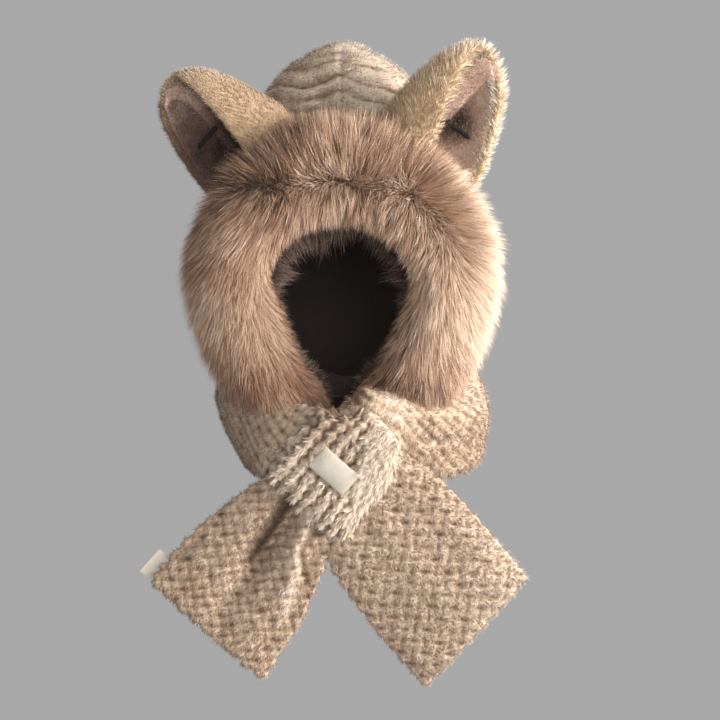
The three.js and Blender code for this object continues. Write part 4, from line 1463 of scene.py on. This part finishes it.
    def grow_pile(self, core: Surface, kit: Kit) -> None:
        """Grows the long pile, in three pieces.

        Args:
            core: The trim's core.
            kit: What it is built with.
        """
        rng = np.random.default_rng(SEED + 3)
        roots = core.scatter(self.hairs, rng, self.seen)
        share, angle, along = self.section(roots)
        brush = {column: self.brushed(share, column) for column in Brush}
        past = angle - brush[Brush.PARTING] - (9 * roots.noise(30, 31) + 5 * roots.noise(12, 36))
        strength = np.where(past < 0, brush[Brush.OUT], brush[Brush.IN])
        outward = np.tanh(past / brush[Brush.BREADTH]) * strength
        flow = unit(np.cross(along, roots.facing)) * outward[:, None] - UP * brush[Brush.DOWN][:, None]
        flow += along * (np.sign(share) * brush[Brush.CHINWARDS])[:, None]
        sideways = np.sign(share) * brush[Brush.SIDEWAYS] * smoothstep(-10, 20, past)
        flow[:, 0] += sideways * (1 - smoothstep(125, 170, angle))
        reach = np.abs(share)
        swirl = np.stack([roots.noise(28, seed) for seed in (32, 33, 34)], axis=1)
        ruffled = hump(past, 16) * (1 - smoothstep(0.3, 0.45, reach))
        flow += (0.22 + 0.5 * ruffled)[:, None] * swirl + rng.normal(0, 0.35, flow.shape) * ruffled[:, None]
        inward = 0.65 - 0.25 * smoothstep(0.5, 0.7, reach)
        length = 1 - inward * smoothstep(112, 172, angle) - 0.4 * smoothstep(0.7, 1.0, reach)
        length *= 1 + 0.25 * (1 - smoothstep(0.08, 0.2, reach)) * (1 - smoothstep(30, 60, angle))
        length *= 1 - 0.25 * ruffled
        shade = self.shade(roots, share, angle, past)
        side = share + rng.normal(0, 0.06, len(share))
        for name, style, part in (
            ("fur_pile_left", CALM, side < -0.38),
            ("fur_pile_top", LONG, np.abs(side + 0.05) <= 0.33),
            ("fur_pile_right", LONG, side > 0.28),
        ):
            hairs = Hairs(name, style, SEED + len(name))
            chosen = Spots(roots.places[part], roots.facing[part])
            kit.add(name, hairs.grow(chosen, flow[part], length[part], shade[part]), "fur_hairs")

    def shade(self, roots: Spots, share: Array, angle: Array, past: Array) -> Array:
        """Gives how pale the hairs are.

        Args:
            roots: Where they start.
            share: How far along the spine.
            angle: Their angle in its section.
            past: How far past the parting they are, in degrees.

        Returns:
            From 0, dark, to 1, pale.
        """
        # Painted light on the right; painted shade beside the parting on top, on the upper left and at the
        # opening.
        x, z, reach = roots.x, roots.z, np.abs(share)
        top = 1 - smoothstep(0.18, 0.4, reach)
        left = smoothstep(0, -60, x)
        shade = 0.54 + 0.14 * roots.noise(35, 35) + 0.05 * (x < 0) * smoothstep(0.35, 0.6, reach)
        shade += (0.08 * hump(past, 11) - 0.2 * smoothstep(0, -30, past)) * top
        shade -= 0.2 * left * smoothstep(-140, -60, z)
        shade -= (0.2 + 0.1 * (x > 0)) * smoothstep(-160, -225, z)
        shade += 0.1 * smoothstep(-100, -125, x) * smoothstep(-90, -130, z)
        shade += 0.3 * smoothstep(70, 125, x) * smoothstep(-220, -160, z)
        shade -= 0.1 * left * smoothstep(100, 150, angle) * smoothstep(-130, -175, z)
        return shade - 0.6 * smoothstep(150, 178, angle) * (1 - 0.5 * smoothstep(0.6, 0.9, reach))

    def grow_fringe(self, core: Surface, kit: Kit) -> None:
        """Grows the fringe round the opening, behind the lit edge of the pile, dark with painted shade.

        Args:
            core: The trim's core.
            kit: What it is built with.
        """
        rng = np.random.default_rng(SEED + 4)
        roots = core.scatter(self.fringe_hairs, rng, self.inner_side)
        share, _, along = self.section(roots)
        count, reach = len(share), np.abs(share)
        around = unit(np.cross(along, roots.facing))
        flow = -0.5 * around + 0.5 * np.sign(share)[:, None] * along + rng.normal(0, 0.45, (count, 3))
        length = (0.88 + 0.3 * roots.noise(12, 37)) * rng.uniform(0.6, 1.15, count)
        length *= 1.15 - 0.15 * smoothstep(0.1, 0.3, reach) - 0.55 * smoothstep(0.45, 0.7, reach)
        shade = rng.random(count) - 0.4 * smoothstep(0, 50, roots.x) + 0.15 * smoothstep(0, -40, roots.x)
        blades = Hairs("fur_fringe", FRINGE, SEED + 4).grow(roots, flow, length, shade)
        kit.add("fur_fringe", blades, "fringe_hairs")


@dataclass
class Ear:
    """One ear: a furred shell folded round a lined hollow, with a black stitch that holds the fold.

    Its lean is in degrees. The stitch runs between two pixels of the photograph. The hollow and the points
    of the flange, along the hollow's edge, are also pixels of it, each with a reach in pixels.
    """

    side: str
    sign: int
    lean: float
    look: str
    coat: Pile
    rounds: int
    stitch: tuple[Pixel, Pixel]
    # The hollow is the pixel where the lining's painted shadow is darkest, with its reach
    hollow: Place
    flange: tuple[Place, ...]
    lining_tone: float
    # How much painted light the flange gets
    flange_light: float
    pale: float
    blunt: float = 0.0
    shell_hairs: int = 30000
    lining_hairs: int = 14000

    ROOT = (82.6, -56, -7)
    LENGTH = 134
    BLUNT_FROM = 0.82
    SHELL_SKIN = 2.2
    LINING_SKIN = 2
    LINING_ROUNDS = 5
    FLANGE_HEIGHT = 5
    THREAD_RADIUS = 1.5
    THREAD_HEIGHT = 6.5

    def axis(self) -> Array:
        """The way from the ear's root to its tip."""
        lean = math.radians(self.lean)
        return np.array([self.sign * math.sin(lean), 0, math.cos(lean)])

    def offset(self, spots: Spots) -> Array:
        """How far from the ear's root points lie, along each axis."""
        return spots.places / MM - np.array(self.ROOT) * (self.sign, 1, 1)

    def height(self, spots: Spots) -> Array:
        """How far up the ear a point lies, from 0 at its root to 1 at its tip."""
        return self.offset(spots) @ self.axis() / self.LENGTH

    def skin(self, kit: Kit, node: str, size: float, rounds: int) -> Mesh:
        """Makes a node's skin, with the tip of the ear drawn in, so that it ends rounder."""
        mesh = reskinned(kit.copy(node), size, rounds)
        surface = Surface.of(mesh)
        past = np.maximum(self.height(surface) - self.BLUNT_FROM, 0)
        set_places(mesh, surface.places - self.axis() * (past * self.blunt * self.LENGTH * MM)[:, None])
        return mesh

    def furred(self, kit: Kit, piece: Piece, pile: Pile, look: str, count: int, shade: Field) -> None:
        """Grows a piece's pile.

        Args:
            kit: What it is built with.
            piece: What it grows on.
            pile: How it grows.
            look: Its finish.
            count: How many hairs.
            shade: Gives the shade at each point.
        """
        seed = SEED + len(piece.name)
        roots = Surface.of(piece.data).scatter(count, np.random.default_rng(seed), everywhere)
        length = 0.8 + 0.3 * smoothstep(0.3, 0.9, self.height(roots))
        hairs = Hairs(piece.name + "_pile", pile, seed)
        kit.add(hairs.name, hairs.grow(roots, self.axis(), length, shade(roots)), look)

    def shell_shade(self, spots: Spots) -> Array:
        """Paler towards the tip, and paler or darker at the rim that faces away from the head."""
        along = self.axis()
        outwards = np.array([self.sign * along[2], 0, -self.sign * along[0]])
        tone = 0.4 + 0.22 * smoothstep(0.3, 0.9, self.height(spots))
        tone += self.pale * smoothstep(5, 35, self.offset(spots) @ outwards)
        return tone + 0.1 * spots.noise(20, 41) + 0.12 * spots.noise(9, 43)

    def on_flange(self, spots: Spots) -> Array:
        """Tells the flange, 1, that the lining turns out along the hollow's edge, from the rest, 0."""
        pixels = Viewpoint().pixels_of(spots.places)
        steps = np.linspace(0, len(self.flange) - 1, 48)
        stops = np.arange(len(self.flange))
        course = np.stack([np.interp(steps, stops, column) for column in zip(*self.flange)], axis=1)
        gaps = np.linalg.norm(pixels[:, None] - course[None, :, :2], axis=2) / course[:, 2]
        return 1 - smoothstep(0.7, 1.15, gaps.min(axis=1))

    def lining_shade(self, spots: Spots) -> Array:
        """Painted shadow down in the fold, painted light on the flange."""
        across, rise, reach = self.hollow
        far = np.linalg.norm(Viewpoint().pixels_of(spots.places) - (across, rise), axis=1) / reach
        tone = self.lining_tone * smoothstep(0.1, 1.0, far) + self.flange_light * self.on_flange(spots)
        return tone + 0.08 * spots.noise(15, 42)

    def build(self, kit: Kit) -> None:
        """Makes the shell, the lining, their pile and the stitch."""
        mesh = self.skin(kit, f"ear_{self.side}", self.SHELL_SKIN, self.rounds)
        set_number(mesh, "relief", smoothstep(-0.3, 0.5, self.shell_shade(Surface.of(mesh))))
        shell = kit.add(f"ear_shell_{self.side}", mesh, f"{self.look}_backing")
        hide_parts(f"ear_{self.side}")
        self.furred(kit, shell, self.coat, f"{self.look}_hairs", self.shell_hairs, self.shell_shade)
        mesh = self.skin(kit, f"ear_lining_{self.side}", self.LINING_SKIN, self.LINING_ROUNDS)
        surface = Surface.of(mesh)
        raised = self.FLANGE_HEIGHT * self.on_flange(surface) * smoothstep(0.0, 0.3, surface.facing @ FRONT)
        set_places(mesh, surface.places + FRONT * raised[:, None] * MM)
        set_number(mesh, "relief", self.lining_shade(Surface.of(mesh)))
        cup = kit.add(f"ear_cup_{self.side}", mesh, "cup_backing")
        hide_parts(f"ear_lining_{self.side}")
        self.furred(kit, cup, NAP, "cup_hairs", self.lining_hairs, self.lining_shade)
        self.sew_stitch(cup, kit)

    def sew_stitch(self, cup: Piece, kit: Kit) -> None:
        """Lays the stitch's two strands in front of the lining.

        Args:
            cup: The lining.
            kit: What it is built with.
        """
        view = Viewpoint()
        tree = BVHTree.FromObject(cup, bpy.context.evaluated_depsgraph_get())
        start, end = np.array(self.stitch)
        points = []
        for pixel in start + (end - start) * np.linspace(0, 1, 33)[:, None]:
            direction = view.ray(tuple(pixel))
            hit = tree.ray_cast(view.place(), direction)[0]
            if hit is not None:
                points.append(hit - direction * (self.THREAD_HEIGHT * MM))
        for number, phase in enumerate((0.0, math.pi)):
            strand = strand_of(f"ear_stitch_{self.side}_{number}", points, self.THREAD_RADIUS, phase)
            kit.add(strand.name, strand, "black_thread")


@dataclass
class Labels:
    """The blank satin patch on the loop and the blank ribbon tab in the left tail's seam.

    Their flat sizes are in metres.
    """

    shift: Place = (-1.0, -1.8, -6.0)
    half_width: float = 23
    half_height: float = 13.5
    pillow: float = 2.0
    tab_reach: float = 12
    tab_curl: float = 2.2
    tab_lean: float = 1.2
    patch_flat: tuple[float, float] = (0.027, 0.046)
    tab_flat: tuple[float, float] = (0.016, 0.028)

    def build(self, kit: Kit) -> None:
        """Makes both: the patch plump like a pillow, the tab slightly curled."""
        patch = reskinned(kit.copy("label_patch"), 0.9, 3)
        places = Surface.of(patch).places
        across, along = along_band(places, (places.max(axis=0) + places.min(axis=0)) / 2)
        pillow = self.pillow * (1 - (across / self.half_width) ** 4) * (1 - (along / self.half_height) ** 2)
        set_places(patch, places + (np.array(self.shift) + FRONT * pillow[:, None]) * MM)
        piece = kit.add("satin_patch", patch, "cream_satin")
        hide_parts("label_patch")
        ribbon = kit.copy("seam_tab")
        with edited(ribbon) as shape:
            bmesh.ops.subdivide_edges(shape, edges=shape.edges, cuts=9, use_grid_fill=True)
        places = Surface.of(ribbon).places
        share = along_band(places, places.mean(axis=0))[0] / self.tab_reach
        curl = self.tab_curl * share ** 2 - self.tab_lean * share
        set_places(ribbon, places + FRONT * curl[:, None] * MM)
        piece = kit.add("seam_ribbon", ribbon, "cream_satin")
        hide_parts("seam_tab")


EARS = (
    Ear(
        "left", -1, 47.5, "golden", VELVET, 30, stitch=((199, 147), (216, 127)), hollow=(226, 154, 68),
        flange=(
            (163, 104, 6), (168, 94, 7), (180, 92, 8), (191, 96, 8), (201, 107, 7), (211, 119, 6),
            (221, 132, 5), (231, 146, 4),
        ),
        lining_tone=0.62, flange_light=0.25, pale=-0.7, blunt=0.22,
    ),
    Ear(
        "right", 1, 29, "cream", SPIKY, 8, stitch=((448, 121), (469, 138)), hollow=(452, 122, 36),
        flange=(
            (431, 131, 6), (440, 121, 8), (451, 106, 9), (462, 91, 10), (474, 79, 12), (485, 68, 12),
            (492, 78, 5),
        ),
        lining_tone=1.1, flange_light=0.65, pale=0.7,
    ),
)


def main() -> None:
    """Builds the studio and every sub-assembly, in order."""
    logging.basicConfig(level=logging.INFO, format="%(message)s")
    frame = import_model()
    Viewpoint().make_camera()
    studio = Studio()
    studio.make_cove()
    studio.make_lights()
    looks = {look.name: (look.material(), slot) for slot, finishes in FINISHES.items() for look in finishes}
    kit = Kit(frame["nodes"], looks)
    for part in (Hood(), Scarf(), FurTrim(), *EARS, Labels()):
        part.build(kit)
    own = [o for o in bpy.context.scene.objects if o.type == "MESH" and o.name not in frame["nodes"]]
    LOG.info("triangles: %d", sum(len(Surface.of(o.data).triangles) for o in own))


if __name__ == "__main__":
    main()
